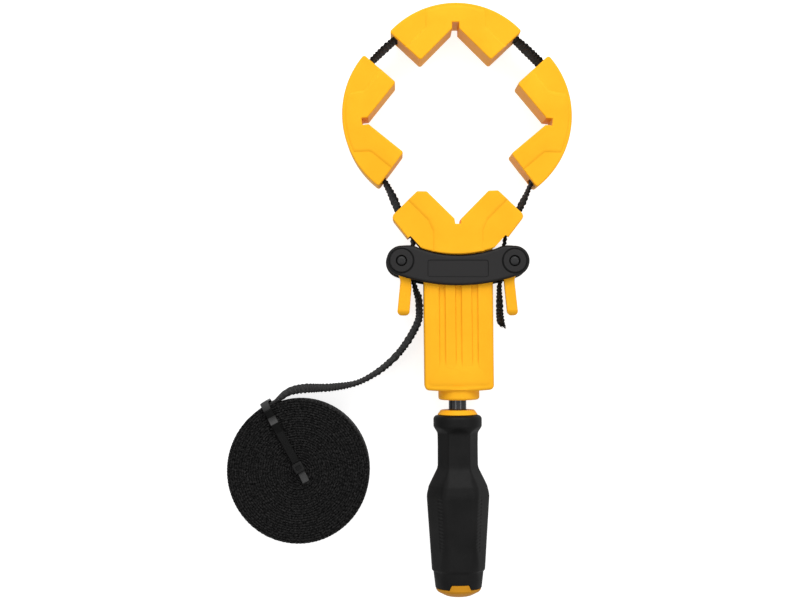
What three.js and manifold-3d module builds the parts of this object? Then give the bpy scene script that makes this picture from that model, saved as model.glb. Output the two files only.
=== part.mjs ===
// Ratchet band clamp. A lead screw in the fluted body pulls a sliding yoke towards the handle, and the
// yoke draws a nylon band tight through four V jaws. Millimetres, +Z up, lying on its back on a bench:
// X runs across, Y from the handle end to the top jaw, Z from the bench to the front face.
import * as THREE from 'three';
import { mergeVertices } from 'three/addons/utils/BufferGeometryUtils.js';
import Module from 'manifold-3d';

const wasm = await Module();
wasm.setup();

// Overall sizes
const DEPTH = 37; // jaws, yoke and grip, front to back
const MID = DEPTH / 2; // the plane that the screw, the band and the shells' joint lie on
const REACH = 180.7; // from the middle of the clamp to the top jaw's back, and to the handle's end
const GAP = 0.3; // clearance between pieces that touch

// Band
const BAND_WIDTH = 25.4;
const BAND_THICK = 1.1;
const BAND_X = 27.3; // where it runs down past the anvils and the lever cams
const SLOT_THICK = 3; // passages through the jaws
const SLOT_WIDTH = 26.6;

// Free jaws, drawn with the V's corner at the origin and the V opening downwards
const JAW_TIP = 20.5; // the V's faces end here, across and down
const JAW_END = { x: 39.4, y: -4 }; // outer end of a leg
const JAW_END_ROUNDING = 1.6;
const JAW_BACK = 13.6; // from the V's corner to the top of the rounded back
const JAW_RELIEF = { half: 2.05, top: 1.75 }; // clearance slot in the V's corner
const JAW_BACK_RADIUS = (JAW_END.x ** 2 + (JAW_BACK - JAW_END.y) ** 2) / (2 * (JAW_BACK - JAW_END.y));
const JAW_ARC_Y = JAW_BACK - JAW_BACK_RADIUS;
const PASSAGE_EXIT = { x: 35.9, y: -7.06 }; // where the band leaves a leg's end face
const PASSAGE_RADIUS = Math.hypot(PASSAGE_EXIT.x, PASSAGE_EXIT.y - JAW_ARC_Y);
const PASSAGE_HALF_ANGLE = Math.atan2(PASSAGE_EXIT.x, PASSAGE_EXIT.y - JAW_ARC_Y);
const TOP_JAW_Y = REACH - JAW_BACK;
const SIDE_JAW = { x: 55.9, y: 108.7, tilt: THREE.MathUtils.degToRad(6) };

// Body with the lower jaw
const BODY_HALF_WIDTH = 21.2;
const BODY_HALF_DEPTH = 14;
const BODY_FOOT_Y = -54.2;
const BODY_TOP_Y = 44; // inside the lower jaw
const BODY_EDGE = 2.5; // rounding of the long edges
const FOOT_CORNER = 3.6;
const FOOT_BULGE = 1.2; // the foot is lower in its middle than at its corners
const NECK_RADIUS = 12.2;
const NECK_END_Y = -60.2;
const LOWER_V_Y = 48.1; // corner of the lower jaw's V
const LOWER_RELIEF = { half: 1.9, y: 47 };
const LOWER_LEG = [
  [18.7, 66.8, 0.8], [24.5, 66.9, 0.8], [39, 53, 0.9], [39.6, 51.2, 0.8], [39, 49.5, 0.9],
  [30.5, 38.6, 0.5], [28.7, 39.9], [26.3, 37.2],
]; // from the V's tip round the outside to the notch that the band leaves by, [x, y, rounding]
const LOWER_EDGE_X = [22, 16, 8, 0]; // the lower edge follows the yoke's upper edge
const JAW_TO_YOKE = 0.5;
const LOWER_ENTRY = { x: 37.2, y: 54.8 }; // band enters a leg of the lower jaw
const LOWER_EXIT = { x: 28.8, y: 39.9 }; // and leaves it above the yoke
const BAND_DROP = 5.5; // below that it has reached its straight run past the anvils
const FLUTES = { x: [-9.9, 0, 9.9], half: 2, deep: 1.2, from: -38.6, to: 27 };
const CHANNEL_HALF = 9.6; // square channel that the nut carriage slides in
const CHANNEL_Y = [-38, 36];
const SIDE_SLOT = { half: 4.5, y: [-13.5, 24] }; // the carriage's arms come out here
const BODY_SCREWS = { x: 15, y: [-41, 41], head: 3.2, headZ: [0.5, 3], shank: 1.75, tip: 27 };

// Yoke
const PIVOT = { x: 34.4, y: 24.9 };
const YOKE_END_RADIUS = 9.1;
const YOKE_TOP_Y = 28.3;
const YOKE_TOP_RADIUS = 68.5; // the upper edge's hollow
const YOKE_SHOULDER = { x: 28, y: 33.4 }; // where the upper edge meets the end
const YOKE_BOTTOM_Y = 10.2;
const YOKE_BOTTOM_RADIUS = 108;
const PLATE_THICK = 4.2;
const PIN = { radius: 3, z: [0.6, DEPTH - 0.7], head: 4.4, headZ: [0.4, 2] };
const PIN_RECESS = { front: 3.9, frontDeep: 1.2, rear: 4.7, rearDeep: 2.3 };
const CARRIAGE = { half: 9.2, y: [11, 25], arm: 4, armY: [13, 23] };
const ANVIL = { x: [21.6, 26.4], y: [13.5, 31.5] };
const NUT = { half: 7, y: [14.3, 22.3] };
const YOKE_SCREW = { x: 24, y: 27.5, head: 2.4, headZ: [0.5, 2.2], shank: 1.2, tip: 12 };

// Cam levers
const CAM_RADIUS = 5.9;
const LEVER_Z = [5.1, DEPTH - 5.1];
const LEVER_ARM = [
  [28.3, 23.5], [28.3, 13], [29.9, -8.4, 3], [36.8, -8.4, 3], [35.1, 13], [37.8, 21.5],
]; // right lever, [x, y, rounding]

// Lead screw and handle, all round the screw's axis
const THREAD_RADIUS = 4.5;
const SHAFT_RADIUS = 5.15;
const FLANGE = { radius: 8, y: [-47, -44] };
const WASHER = { radius: 8, bore: 5.6, thick: 1.5 };
const END_JOURNAL = { radius: 3, y: [34, 41] };
const END_BUSH_RADIUS = 5.3;
const NECK_BUSH = { radius: SHAFT_RADIUS + 1.3, y: [NECK_END_Y + 0.4, -49.6] };
const CORE = { lip: 10, collar: 12.1, stem: 9, y: [-163, -69.4, -66.3] };
const SCREW_END_Y = -111;
const HANDLE_TURN = THREE.MathUtils.degToRad(5); // the grip's front flat looks a little to the right
const CAP_Y = -175.4;
const CAP_RADIUS = 14.1;
const CAP_TAB = { foot: 6.4, top: 5.2, high: 3.6, low: 10.8 }; // half widths, rise, and depth in the grip
const GRIP_PROFILE = [
  [13.6, -69.7], [14.5, -70.6], [14.75, -72.4], [14.6, -75.2], [13, -78.4], [12.2, -82], [12, -86],
  [12, -94], [12.35, -101], [13.4, -104.9], [15.9, -109.5], [17.7, -113.4], [18.5, -116.6], [18.85, -119.5],
  [18.8, -122.5], [17.1, -147.6], [15.95, -164.6], [15.1, -166], [14.2, CAP_Y],
]; // [radius, y] from the flange to the end cap
const GRIP_FLAT_COUNT = 6;
const GRIP_FLATS = [
  [-172, 1], [-163, 0.96], [-148, 0.915], [-120, 0.91], [-112, 0.92], [-101, 0.88], [-81.5, 0.875], [-76, 1],
]; // [y, how far from the axis the flats lie, as a share of the radius there]
const GRIP_SIDES = 36;

// Free ends of the band. The long one is wound into a flat coil that lies beside the handle.
const COIL = { x: -97, y: -102.9, outer: 43.35, inner: 5.5, turns: 24, stepsPerTurn: 24, low: 1.6 };
const COIL_OVAL = 1.02; // it is this much longer than it is wide
const COIL_START = THREE.MathUtils.degToRad(111.6);
const TAIL_TOP_Y = 13.9;
const LEFT_TAIL = [
  [-27.2, TAIL_TOP_Y], [-25, 6.5], [-23.3, -0.5], [-23.1, -9.5], [-27.1, -19.4], [-35.1, -30.6],
  [-43.1, -38.6], [-51.2, -44.6], [-62.2, -49.8], [-77.2, -52.2], [-85.9, -52.6], [-95.3, -53.2],
  [-102.9, -56.2], [-109, -60.2],
];
const LEFT_TAIL_LEAN = [
  [0, 0], [0.06, 0.05], [0.12, 0.07], [0.25, 0.07], [0.45, 0.045], [0.62, 0.02], [0.75, 0.055], [0.88, 0.08],
  [0.95, 0.045], [1, 0],
]; // [share of its length, sideways lean], so that its face shows from above
const RIGHT_TAIL = [[27.2, TAIL_TOP_Y], [27.1, 8], [26.9, 2], [26.6, -4], [26.5, -10], [26.9, -15.4]];
const RIGHT_TAIL_LEAN = [[0, 0], [0.15, 0.05], [1, 0.09]];
const TAIL_REST = { low: 0.5, share: 0.45 }; // its lower edge sinks to the bench this far along

// Tie round the coil
const TIE = { angle: THREE.MathUtils.degToRad(118), width: 5, thick: 1.2, inner: 3.8, outer: 46.1, low: 0.2 };
const TIE_HEAD = { out: 2.2, half: 3.2, high: 4.2, stub: 6.6, stubLow: 1 }; // out: from the coil's middle

const YELLOW = { color: 0xfdbb2d, roughness: 0.45, metalness: 0 };
const BLACK_PLASTIC = { color: 0x343233, roughness: 0.5, metalness: 0 };
const BLACK_RUBBER = { color: 0x232121, roughness: 0.7, metalness: 0 };
const WEBBING = { color: 0x1c1b1b, roughness: 0.9, metalness: 0 };
const BLACK_STEEL = { color: 0x2b2b2d, roughness: 0.3, metalness: 0.9 };
const ZINC = { color: 0xb9bcc0, roughness: 0.35, metalness: 1 };
const BRONZE = { color: 0xa9824a, roughness: 0.4, metalness: 1 };

// Solids

function solidOf(geometry) {
  geometry.deleteAttribute('normal');
  geometry.deleteAttribute('uv');
  const merged = mergeVertices(geometry, 1e-4);
  const place = merged.attributes.position;
  const corner = (i) => new THREE.Vector3().fromBufferAttribute(place, i);
  const triangles = [];
  let volume = 0;
  for (let i = 0; i < merged.index.count; i += 3) {
    const [a, b, c] = [0, 1, 2].map((k) => merged.index.getX(i + k));
    if (a === b || b === c || a === c) continue;
    triangles.push([a, b, c]);
    volume += corner(a).dot(corner(b).cross(corner(c)));
  }
  const outward = triangles.map(([a, b, c]) => (volume < 0 ? [a, c, b] : [a, b, c]));
  return new wasm.Manifold(new wasm.Mesh({
    numProp: 3,
    vertProperties: new Float32Array(place.array),
    triVerts: new Uint32Array(outward.flat()),
  }));
}

function geometryOf(solid) {
  const mesh = solid.getMesh();
  const geometry = new THREE.BufferGeometry();
  geometry.setAttribute('position', new THREE.BufferAttribute(new Float32Array(mesh.vertProperties), 3));
  geometry.setIndex(new THREE.BufferAttribute(new Uint32Array(mesh.triVerts), 1));
  geometry.computeVertexNormals();
  return geometry;
}

const joined = (solids) => solids.reduce((whole, next) => whole.add(next));
const cutBy = (solid, cutters) => solid.subtract(joined(cutters));

function box(x, y, z) {
  const size = [x, y, z].map(([low, high]) => high - low);
  const middle = [x, y, z].map(([low, high]) => (low + high) / 2);
  return solidOf(new THREE.BoxGeometry(...size).translate(...middle));
}

// A flat outline given a depth along Z.
function plate(outline, [low, high]) {
  const shape = new THREE.Shape(outline);
  const geometry = new THREE.ExtrudeGeometry(shape, { depth: high - low, bevelEnabled: false });
  return solidOf(geometry.translate(0, 0, low));
}

// A round piece about an axis along Z.
function roundAlongZ(x, y, radius, [low, high], sides = 16) {
  const geometry = new THREE.CylinderGeometry(radius, radius, high - low, sides).rotateX(Math.PI / 2);
  return solidOf(geometry.translate(x, y, (low + high) / 2));
}

// A turned piece about the screw's axis, from [radius, y] points.
function turned(profile, sides = 24) {
  const points = profile.map(([radius, y]) => new THREE.Vector2(radius, y));
  return solidOf(new THREE.LatheGeometry(points, sides).translate(0, 0, MID));
}

const bored = (outer, inner, [low, high], sides) => turned(
  [[inner, low], [outer, low], [outer, high], [inner, high], [inner, low]], sides);
const rod = (radius, [low, high], sides) => turned(
  [[0, low], [radius, low], [radius, high], [0, high]], sides);

// Outlines

const at = (x, y) => new THREE.Vector2(x, y);

function arc(cx, cy, radius, from, to, steps) {
  return Array.from({ length: steps + 1 }, (_, i) => {
    const angle = from + (to - from) * i / steps;
    return at(cx + radius * Math.cos(angle), cy + radius * Math.sin(angle));
  });
}

// Corners as [x, y, rounding]; a rounded corner becomes a short curve.
function rounded(corners, steps = 3) {
  return corners.flatMap(([x, y, rounding = 0], i) => {
    if (!rounding) return [at(x, y)];
    const here = at(x, y);
    const [before, after] = [-1, 1].map((side) => {
      const [nx, ny] = corners[(i + side + corners.length) % corners.length];
      return here.clone().add(at(nx, ny).sub(here).setLength(rounding));
    });
    return new THREE.QuadraticBezierCurve(before, here, after).getPoints(steps);
  });
}

// The right half of an outline, from the top of the centre line to its foot, and its mirror image.
function mirrored(half) {
  const other = half.filter((p) => p.x > GAP).map((p) => at(-p.x, p.y)).reverse();
  return [...half, ...other];
}

// The value at a place in rows of [place, value] that rise in place.
function between(rows, place) {
  const next = rows.findIndex(([start]) => start > place);
  if (next === 0) return rows[0][1];
  if (next < 0) return rows.at(-1)[1];
  const [[a, from], [b, to]] = [rows[next - 1], rows[next]];
  return THREE.MathUtils.mapLinear(place, a, b, from, to);
}

// A flat band through a row of places. Each place is { p, across, normal } in 3-D.
function ribbon(places, width = BAND_WIDTH, thick = BAND_THICK) {
  const vertices = places.flatMap(({ p, across, normal }) => [[1, -1], [-1, -1], [-1, 1], [1, 1]].map(
    ([n, a]) => p.clone().addScaledVector(normal, n * thick / 2).addScaledVector(across, a * width / 2)));
  const triangles = [[0, 1, 2], [0, 2, 3]];
  for (let i = 0; i + 1 < places.length; i += 1) {
    for (let k = 0; k < 4; k += 1) {
      const [a, b] = [4 * i + k, 4 * i + (k + 1) % 4];
      triangles.push([a, a + 4, b + 4], [a, b + 4, b]);
    }
  }
  const last = 4 * (places.length - 1);
  triangles.push([last, last + 2, last + 1], [last, last + 3, last + 2]);
  const geometry = new THREE.BufferGeometry().setFromPoints(vertices);
  geometry.setIndex(triangles.flat());
  return solidOf(geometry);
}

// Places along a flat route, with the band standing on its edge and leaning by the given share.
function standing(route, heightAt, leanAt = () => 0) {
  return route.map((p, i) => {
    const before = route[Math.max(i - 1, 0)];
    const after = route[Math.min(i + 1, route.length - 1)];
    const along = after.clone().sub(before).normalize();
    const share = i / (route.length - 1);
    const lean = leanAt(share);
    const side = new THREE.Vector3(-along.y, along.x, 0);
    return {
      p: new THREE.Vector3(p.x, p.y, heightAt(share)),
      across: new THREE.Vector3(0, 0, Math.cos(lean)).addScaledVector(side, Math.sin(lean)),
      normal: side.clone().multiplyScalar(Math.cos(lean)).add(new THREE.Vector3(0, 0, -Math.sin(lean))),
    };
  });
}

function smoothRoute(points, steps) {
  const through = points.map(([x, y]) => new THREE.Vector3(x, y, 0));
  const curve = new THREE.CatmullRomCurve3(through, false, 'centripetal');
  return curve.getSpacedPoints(steps).map((p) => at(p.x, p.y));
}

const clamp = new THREE.Group();

function place(name, solid, finish) {
  const mesh = new THREE.Mesh(geometryOf(solid), new THREE.MeshStandardMaterial(finish));
  mesh.name = name;
  clamp.add(mesh);
  return mesh;
}

// Free jaws: a rounded back, two legs that make a 90 degree V, and an arched passage for the band

const throughJaw = [MID - SLOT_WIDTH / 2, MID + SLOT_WIDTH / 2];

function freeJaw() {
  const turn = Math.atan2(JAW_END.x, JAW_END.y - JAW_ARC_Y) - JAW_END_ROUNDING / JAW_BACK_RADIUS;
  const back = arc(0, JAW_ARC_Y, JAW_BACK_RADIUS, Math.PI / 2, Math.PI / 2 - turn, 8);
  const leg = rounded([
    [back.at(-1).x, back.at(-1).y], [JAW_END.x, JAW_END.y, JAW_END_ROUNDING], [JAW_TIP, -JAW_TIP, 1.2],
    [JAW_RELIEF.half, -JAW_RELIEF.half], [JAW_RELIEF.half, JAW_RELIEF.top],
  ]);
  const outline = mirrored([...back.slice(0, -1), ...leg.slice(1)]);
  const past = PASSAGE_HALF_ANGLE + 0.2;
  const passage = [
    ...arc(0, JAW_ARC_Y, PASSAGE_RADIUS + SLOT_THICK / 2, Math.PI / 2 - past, Math.PI / 2 + past, 18),
    ...arc(0, JAW_ARC_Y, PASSAGE_RADIUS - SLOT_THICK / 2, Math.PI / 2 + past, Math.PI / 2 - past, 18),
  ];
  return plate(outline, [0, DEPTH]).subtract(plate(passage, throughJaw));
}

const jawPlaces = {
  top_jaw: { x: 0, y: TOP_JAW_Y, turn: 0 },
  left_jaw: { x: -SIDE_JAW.x, y: SIDE_JAW.y, turn: Math.PI / 2 + SIDE_JAW.tilt },
  right_jaw: { x: SIDE_JAW.x, y: SIDE_JAW.y, turn: -Math.PI / 2 - SIDE_JAW.tilt },
};
for (const [name, { x, y, turn }] of Object.entries(jawPlaces)) {
  const jaw = place(name, freeJaw(), YELLOW);
  jaw.position.set(x, y, 0);
  jaw.rotation.z = turn;
}
const onJaw = (name, p) => {
  const { x, y, turn } = jawPlaces[name];
  return p.clone().rotateAround(at(0, 0), turn).add(at(x, y));
};

// Body: two shells that meet on the middle plane, with the lower jaw, the flutes and the neck

const yokeTopAt = (x) => YOKE_TOP_Y + x * x / (2 * YOKE_TOP_RADIUS);
const yokeBottomAt = (x) => YOKE_BOTTOM_Y + x * x / (2 * YOKE_BOTTOM_RADIUS);

function lowerJaw() {
  const { half, y } = LOWER_RELIEF;
  const lowerEdge = LOWER_EDGE_X.map((x) => at(x, yokeTopAt(x) + JAW_TO_YOKE));
  const leg = rounded([[half, y], [half, LOWER_V_Y + half], ...LOWER_LEG]);
  const jaw = plate(mirrored([at(0, y), ...leg, ...lowerEdge]), [0, DEPTH]);
  const entry = at(LOWER_ENTRY.x, LOWER_ENTRY.y);
  const exit = at(LOWER_EXIT.x, LOWER_EXIT.y);
  const along = exit.clone().sub(entry).normalize();
  const side = at(-along.y, along.x).multiplyScalar(SLOT_THICK / 2);
  const past = 4;
  const start = entry.clone().addScaledVector(along, -past);
  const end = exit.clone().addScaledVector(along, past);
  const passage = [
    start.clone().add(side), end.clone().add(side), end.clone().sub(side), start.clone().sub(side),
  ];
  const otherPassage = passage.map((p) => at(-p.x, p.y));
  return cutBy(jaw, [plate(passage, throughJaw), plate(otherPassage, throughJaw)]);
}

function flutedBlock() {
  const [w, d, rounding] = [BODY_HALF_WIDTH, BODY_HALF_DEPTH, BODY_EDGE];
  const section = rounded([[-w, -d, rounding], [w, -d, rounding], [w, d, rounding], [-w, d, rounding]]);
  const length = BODY_TOP_Y - BODY_FOOT_Y;
  const shape = new THREE.ExtrudeGeometry(new THREE.Shape(section), { depth: length, bevelEnabled: false });
  const block = solidOf(shape.rotateX(-Math.PI / 2).translate(0, BODY_FOOT_Y, MID));
  const footAt = (x) => BODY_FOOT_Y + FOOT_BULGE * (x / w) ** 2;
  const outline = rounded([
    [-w, footAt(w), FOOT_CORNER], ...[-w / 2, 0, w / 2].map((x) => [x, footAt(x)]), [w, footAt(w), FOOT_CORNER],
    [w, BODY_TOP_Y], [-w, BODY_TOP_Y],
  ], 4);
  const flutes = FLUTES.x.flatMap((x) => [[MID + d - FLUTES.deep, DEPTH], [0, MID - d + FLUTES.deep]].map(
    (z) => box([x - FLUTES.half, x + FLUTES.half], [FLUTES.from, FLUTES.to], z)));
  return cutBy(block.intersect(plate(outline, [0, DEPTH])), flutes);
}

function insideOfBody() {
  const hollow = [MID - CHANNEL_HALF, MID + CHANNEL_HALF];
  const slot = [MID - SIDE_SLOT.half, MID + SIDE_SLOT.half];
  const pocketY = [FLANGE.y[0] - WASHER.thick - 2 * GAP, FLANGE.y[1] + WASHER.thick + 2 * GAP];
  return joined([
    box([-CHANNEL_HALF, CHANNEL_HALF], CHANNEL_Y, hollow),
    box([-BODY_HALF_WIDTH - 1, BODY_HALF_WIDTH + 1], SIDE_SLOT.y, slot),
    rod(END_BUSH_RADIUS + GAP, [CHANNEL_Y[1] - 1, END_JOURNAL.y[1] + 2 * GAP]),
    rod(WASHER.radius + GAP, pocketY),
    rod(WASHER.bore, [pocketY[1] - 1, CHANNEL_Y[0] + 1]),
    rod(NECK_BUSH.radius + GAP, [NECK_END_Y - 1, pocketY[0] + 1]),
  ]);
}

const screwPlaces = BODY_SCREWS.y.flatMap((y) => [-1, 1].map((side) => ({
  x: side * BODY_SCREWS.x, y, back: y > 0 ? 0 : MID - BODY_HALF_DEPTH,
})));

function screwHoles() {
  const { head, headZ, shank, tip } = BODY_SCREWS;
  return screwPlaces.flatMap(({ x, y, back }) => [
    roundAlongZ(x, y, head + GAP, [back - 1, back + headZ[1] + GAP]),
    roundAlongZ(x, y, shank + GAP, [back, tip + GAP]),
  ]);
}

const neckEdge = 1.2;
const neck = turned([
  [0, NECK_END_Y], [NECK_RADIUS - neckEdge, NECK_END_Y], [NECK_RADIUS, NECK_END_Y + neckEdge],
  [NECK_RADIUS, BODY_FOOT_Y + 2], [0, BODY_FOOT_Y + 2],
], 32);
const body = cutBy(joined([lowerJaw(), flutedBlock(), neck]), [insideOfBody(), ...screwHoles()]);
const everywhere = [-REACH, REACH];
place('body_front_shell', body.intersect(box(everywhere, everywhere, [MID + GAP / 2, DEPTH + 1])), YELLOW);
place('body_rear_shell', body.intersect(box(everywhere, everywhere, [-1, MID - GAP / 2])), YELLOW);

const screwNames = ['lower_left', 'lower_right', 'upper_left', 'upper_right'];
screwPlaces.forEach(({ x, y, back }, i) => {
  const headZ = BODY_SCREWS.headZ.map((z) => back + z);
  const head = roundAlongZ(x, y, BODY_SCREWS.head, headZ);
  const shank = roundAlongZ(x, y, BODY_SCREWS.shank, [headZ[1] - 1, BODY_SCREWS.tip]);
  place(`body_screw_${screwNames[i]}`, head.add(shank), ZINC);
});

// Bearings of the screw in the body

const upperWasherY = [FLANGE.y[1] + GAP, FLANGE.y[1] + GAP + WASHER.thick];
const lowerWasherY = [FLANGE.y[0] - GAP - WASHER.thick, FLANGE.y[0] - GAP];
place('thrust_washer_upper', bored(WASHER.radius, WASHER.bore, upperWasherY), ZINC);
place('thrust_washer_lower', bored(WASHER.radius, WASHER.bore, lowerWasherY), ZINC);
place('neck_bush', bored(NECK_BUSH.radius, SHAFT_RADIUS + GAP, NECK_BUSH.y), BRONZE);
const endBushY = [CHANNEL_Y[1] + GAP, END_JOURNAL.y[1] - GAP];
place('end_bush', bored(END_BUSH_RADIUS, END_JOURNAL.radius + GAP, endBushY), BRONZE);

// Lead screw with its thrust flange, and the handle that is fixed on it

place('lead_screw', turned([
  [0, SCREW_END_Y], [SHAFT_RADIUS, SCREW_END_Y], [SHAFT_RADIUS, FLANGE.y[0]], [FLANGE.radius, FLANGE.y[0]],
  [FLANGE.radius, FLANGE.y[1]], [THREAD_RADIUS, FLANGE.y[1]], [THREAD_RADIUS, END_JOURNAL.y[0]],
  [END_JOURNAL.radius, END_JOURNAL.y[0]], [END_JOURNAL.radius, END_JOURNAL.y[1]], [0, END_JOURNAL.y[1]],
]), BLACK_STEEL);

const [coreEnd, collarFoot, collarTop] = CORE.y;
const coreBore = SHAFT_RADIUS + GAP;
place('handle_core', turned([
  [coreBore, collarTop], [CORE.lip, collarTop], [CORE.collar, collarFoot + GAP],
  [CORE.collar, collarFoot], [CORE.stem, collarFoot], [CORE.stem, coreEnd],
  [0, coreEnd], [0, SCREW_END_Y - GAP], [coreBore, SCREW_END_Y - GAP], [coreBore, collarTop],
], 32), YELLOW);

const gripTop = collarFoot - GAP;
const gripBore = CORE.stem + GAP;

// The grip turned about the axis, with its outside drawn in to the flats.
function flattedGrip() {
  const profile = [[gripBore, gripTop], ...GRIP_PROFILE, [gripBore, CAP_Y], [gripBore, gripTop]];
  const geometry = new THREE.LatheGeometry(profile.map(([r, y]) => at(r, y)), GRIP_SIDES, HANDLE_TURN);
  const vertices = geometry.attributes.position;
  const flat = 2 * Math.PI / GRIP_FLAT_COUNT;
  for (let i = 0; i < vertices.count; i += 1) {
    const p = new THREE.Vector3().fromBufferAttribute(vertices, i);
    if (Math.hypot(p.x, p.z) < gripBore + GAP) continue;
    const turn = Math.atan2(p.x, p.z) - HANDLE_TURN;
    const offMiddle = turn - flat * Math.round(turn / flat);
    const share = Math.min(1, between(GRIP_FLATS, p.y) / Math.cos(offMiddle));
    vertices.setXYZ(i, p.x * share, p.y, p.z * share);
  }
  return solidOf(geometry.translate(0, 0, MID));
}

// A flat outline on the grip's front, given a depth towards the axis.
function plateOnHandle(outline, [low, high]) {
  const geometry = new THREE.ExtrudeGeometry(new THREE.Shape(outline), { depth: high - low, bevelEnabled: false });
  return solidOf(geometry.translate(0, 0, low - MID).rotateY(HANDLE_TURN).translate(0, 0, MID));
}

const { foot: tabFoot, top: tabTop, high: tabHigh } = CAP_TAB;
const capTab = rounded([
  [-tabFoot, CAP_Y - 1], [tabFoot, CAP_Y - 1], [tabFoot, CAP_Y], [tabTop, CAP_Y + tabHigh],
  [-tabTop, CAP_Y + tabHigh], [-tabFoot, CAP_Y],
]);
const tabNotch = capTab.map((p) => at(p.x * (1 + GAP / tabTop), p.y + GAP));
const tabZ = [MID + CAP_TAB.low, DEPTH];
const gripOnBench = flattedGrip().intersect(box(everywhere, everywhere, [0, DEPTH]));
place('handle_grip', gripOnBench.subtract(plateOnHandle(tabNotch, tabZ)), BLACK_RUBBER);

const capShape = turned([
  [0, -REACH], [8.6, -REACH], [11.4, -REACH + 0.9], [13.2, -REACH + 2.4], [14, -REACH + 4.2],
  [CAP_RADIUS, CAP_Y - GAP], [CORE.stem, CAP_Y - GAP], [CORE.stem, coreEnd - 3], [0, coreEnd - 3],
], 32);
const tabSkin = turned([
  [0, CAP_Y - 2], [CAP_RADIUS, CAP_Y - 2], [CAP_RADIUS + 0.5, CAP_Y + tabHigh + 1], [0, CAP_Y + tabHigh + 1],
], 32);
const tab = tabSkin.intersect(plateOnHandle(capTab, [tabZ[0] + GAP, DEPTH]));
place('handle_end_cap', capShape.add(tab), YELLOW);

// Yoke: front and rear plates on a nut carriage whose arms pass through the body's side slots

function yokeOutline() {
  const top = [0, 6, 12, 18, 23].map((x) => at(x, yokeTopAt(x)));
  const end = arc(PIVOT.x, PIVOT.y, YOKE_END_RADIUS, Math.PI / 2, -Math.PI / 2, 12);
  const bottom = [30, 24, 16, 8, 0].map((x) => at(x, yokeBottomAt(x)));
  return mirrored([...top, at(YOKE_SHOULDER.x, YOKE_SHOULDER.y), ...end, ...bottom]);
}

const plates = { front: [DEPTH - PLATE_THICK, DEPTH], rear: [0, PLATE_THICK] };
const onPivot = (side, radius, z, sides) => roundAlongZ(side * PIVOT.x, PIVOT.y, radius, z, sides);
const pinHoles = [-1, 1].map((side) => onPivot(side, PIN.radius + GAP, [-1, DEPTH + 1]));
const pinRecesses = [-1, 1].flatMap((side) => [
  onPivot(side, PIN_RECESS.front, [DEPTH - PIN_RECESS.frontDeep, DEPTH + 1]),
  onPivot(side, PIN_RECESS.rear, [-1, PIN_RECESS.rearDeep]),
]);
const onYokeScrew = (side, radius, z) => roundAlongZ(side * YOKE_SCREW.x, YOKE_SCREW.y, radius, z, 12);
const yokeScrewHoles = [-1, 1].flatMap((side) => [
  onYokeScrew(side, YOKE_SCREW.head + GAP, [-1, YOKE_SCREW.headZ[1] + GAP]),
  onYokeScrew(side, YOKE_SCREW.shank + GAP, [0, YOKE_SCREW.tip + GAP]),
]);
const pivotCuts = [...pinHoles, ...pinRecesses];
place('yoke_front_plate', cutBy(plate(yokeOutline(), plates.front), pivotCuts), BLACK_PLASTIC);
const rearCuts = [...pivotCuts, ...yokeScrewHoles];
place('yoke_rear_plate', cutBy(plate(yokeOutline(), plates.rear), rearCuts), BLACK_PLASTIC);

const betweenPlates = [PLATE_THICK + GAP, DEPTH - PLATE_THICK - GAP];
const carriageZ = [MID - CARRIAGE.half, MID + CARRIAGE.half];
const carriage = joined([
  box([-CARRIAGE.half, CARRIAGE.half], CARRIAGE.y, carriageZ),
  box([-ANVIL.x[0] - 1, ANVIL.x[0] + 1], CARRIAGE.armY, [MID - CARRIAGE.arm, MID + CARRIAGE.arm]),
  ...[-1, 1].map((side) => box(ANVIL.x.map((x) => side * x).sort((a, b) => a - b), ANVIL.y, betweenPlates)),
]);
const nutPocket = NUT.half + GAP;
place('nut_carriage', cutBy(carriage, [
  rod(THREAD_RADIUS + 2 * GAP, [CARRIAGE.y[0] - 1, CARRIAGE.y[1] + 1]),
  box([-nutPocket, nutPocket], [NUT.y[0] - GAP, CARRIAGE.y[1] + 1], [MID - nutPocket, MID + nutPocket]),
  ...yokeScrewHoles,
]), BLACK_STEEL);
const nutZ = [MID - NUT.half, MID + NUT.half];
const nutBore = rod(THREAD_RADIUS + GAP, [NUT.y[0] - 1, NUT.y[1] + 1]);
place('travelling_nut', box([-NUT.half, NUT.half], NUT.y, nutZ).subtract(nutBore), BRONZE);

for (const [name, side] of [['left', -1], ['right', 1]]) {
  const pin = onPivot(side, PIN.radius, PIN.z).add(onPivot(side, PIN.head, PIN.headZ));
  place(`pivot_pin_${name}`, pin, BLACK_STEEL);
  const shank = onYokeScrew(side, YOKE_SCREW.shank, [YOKE_SCREW.headZ[1] - 1, YOKE_SCREW.tip]);
  place(`yoke_screw_${name}`, shank.add(onYokeScrew(side, YOKE_SCREW.head, YOKE_SCREW.headZ)), ZINC);

  // Cam lever: a hub on the pin that grips the band, and a flat arm that hangs past the yoke
  const arm = rounded(LEVER_ARM, 5).map((p) => at(side * p.x, p.y));
  const hub = onPivot(side, CAM_RADIUS, LEVER_Z, 24);
  const lever = hub.add(plate(arm, LEVER_Z));
  place(`${name}_lever`, lever.subtract(pinHoles[side < 0 ? 0 : 1]), YELLOW);
}

// Band: one length from cam to cam through all the jaws, and its two free ends

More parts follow.
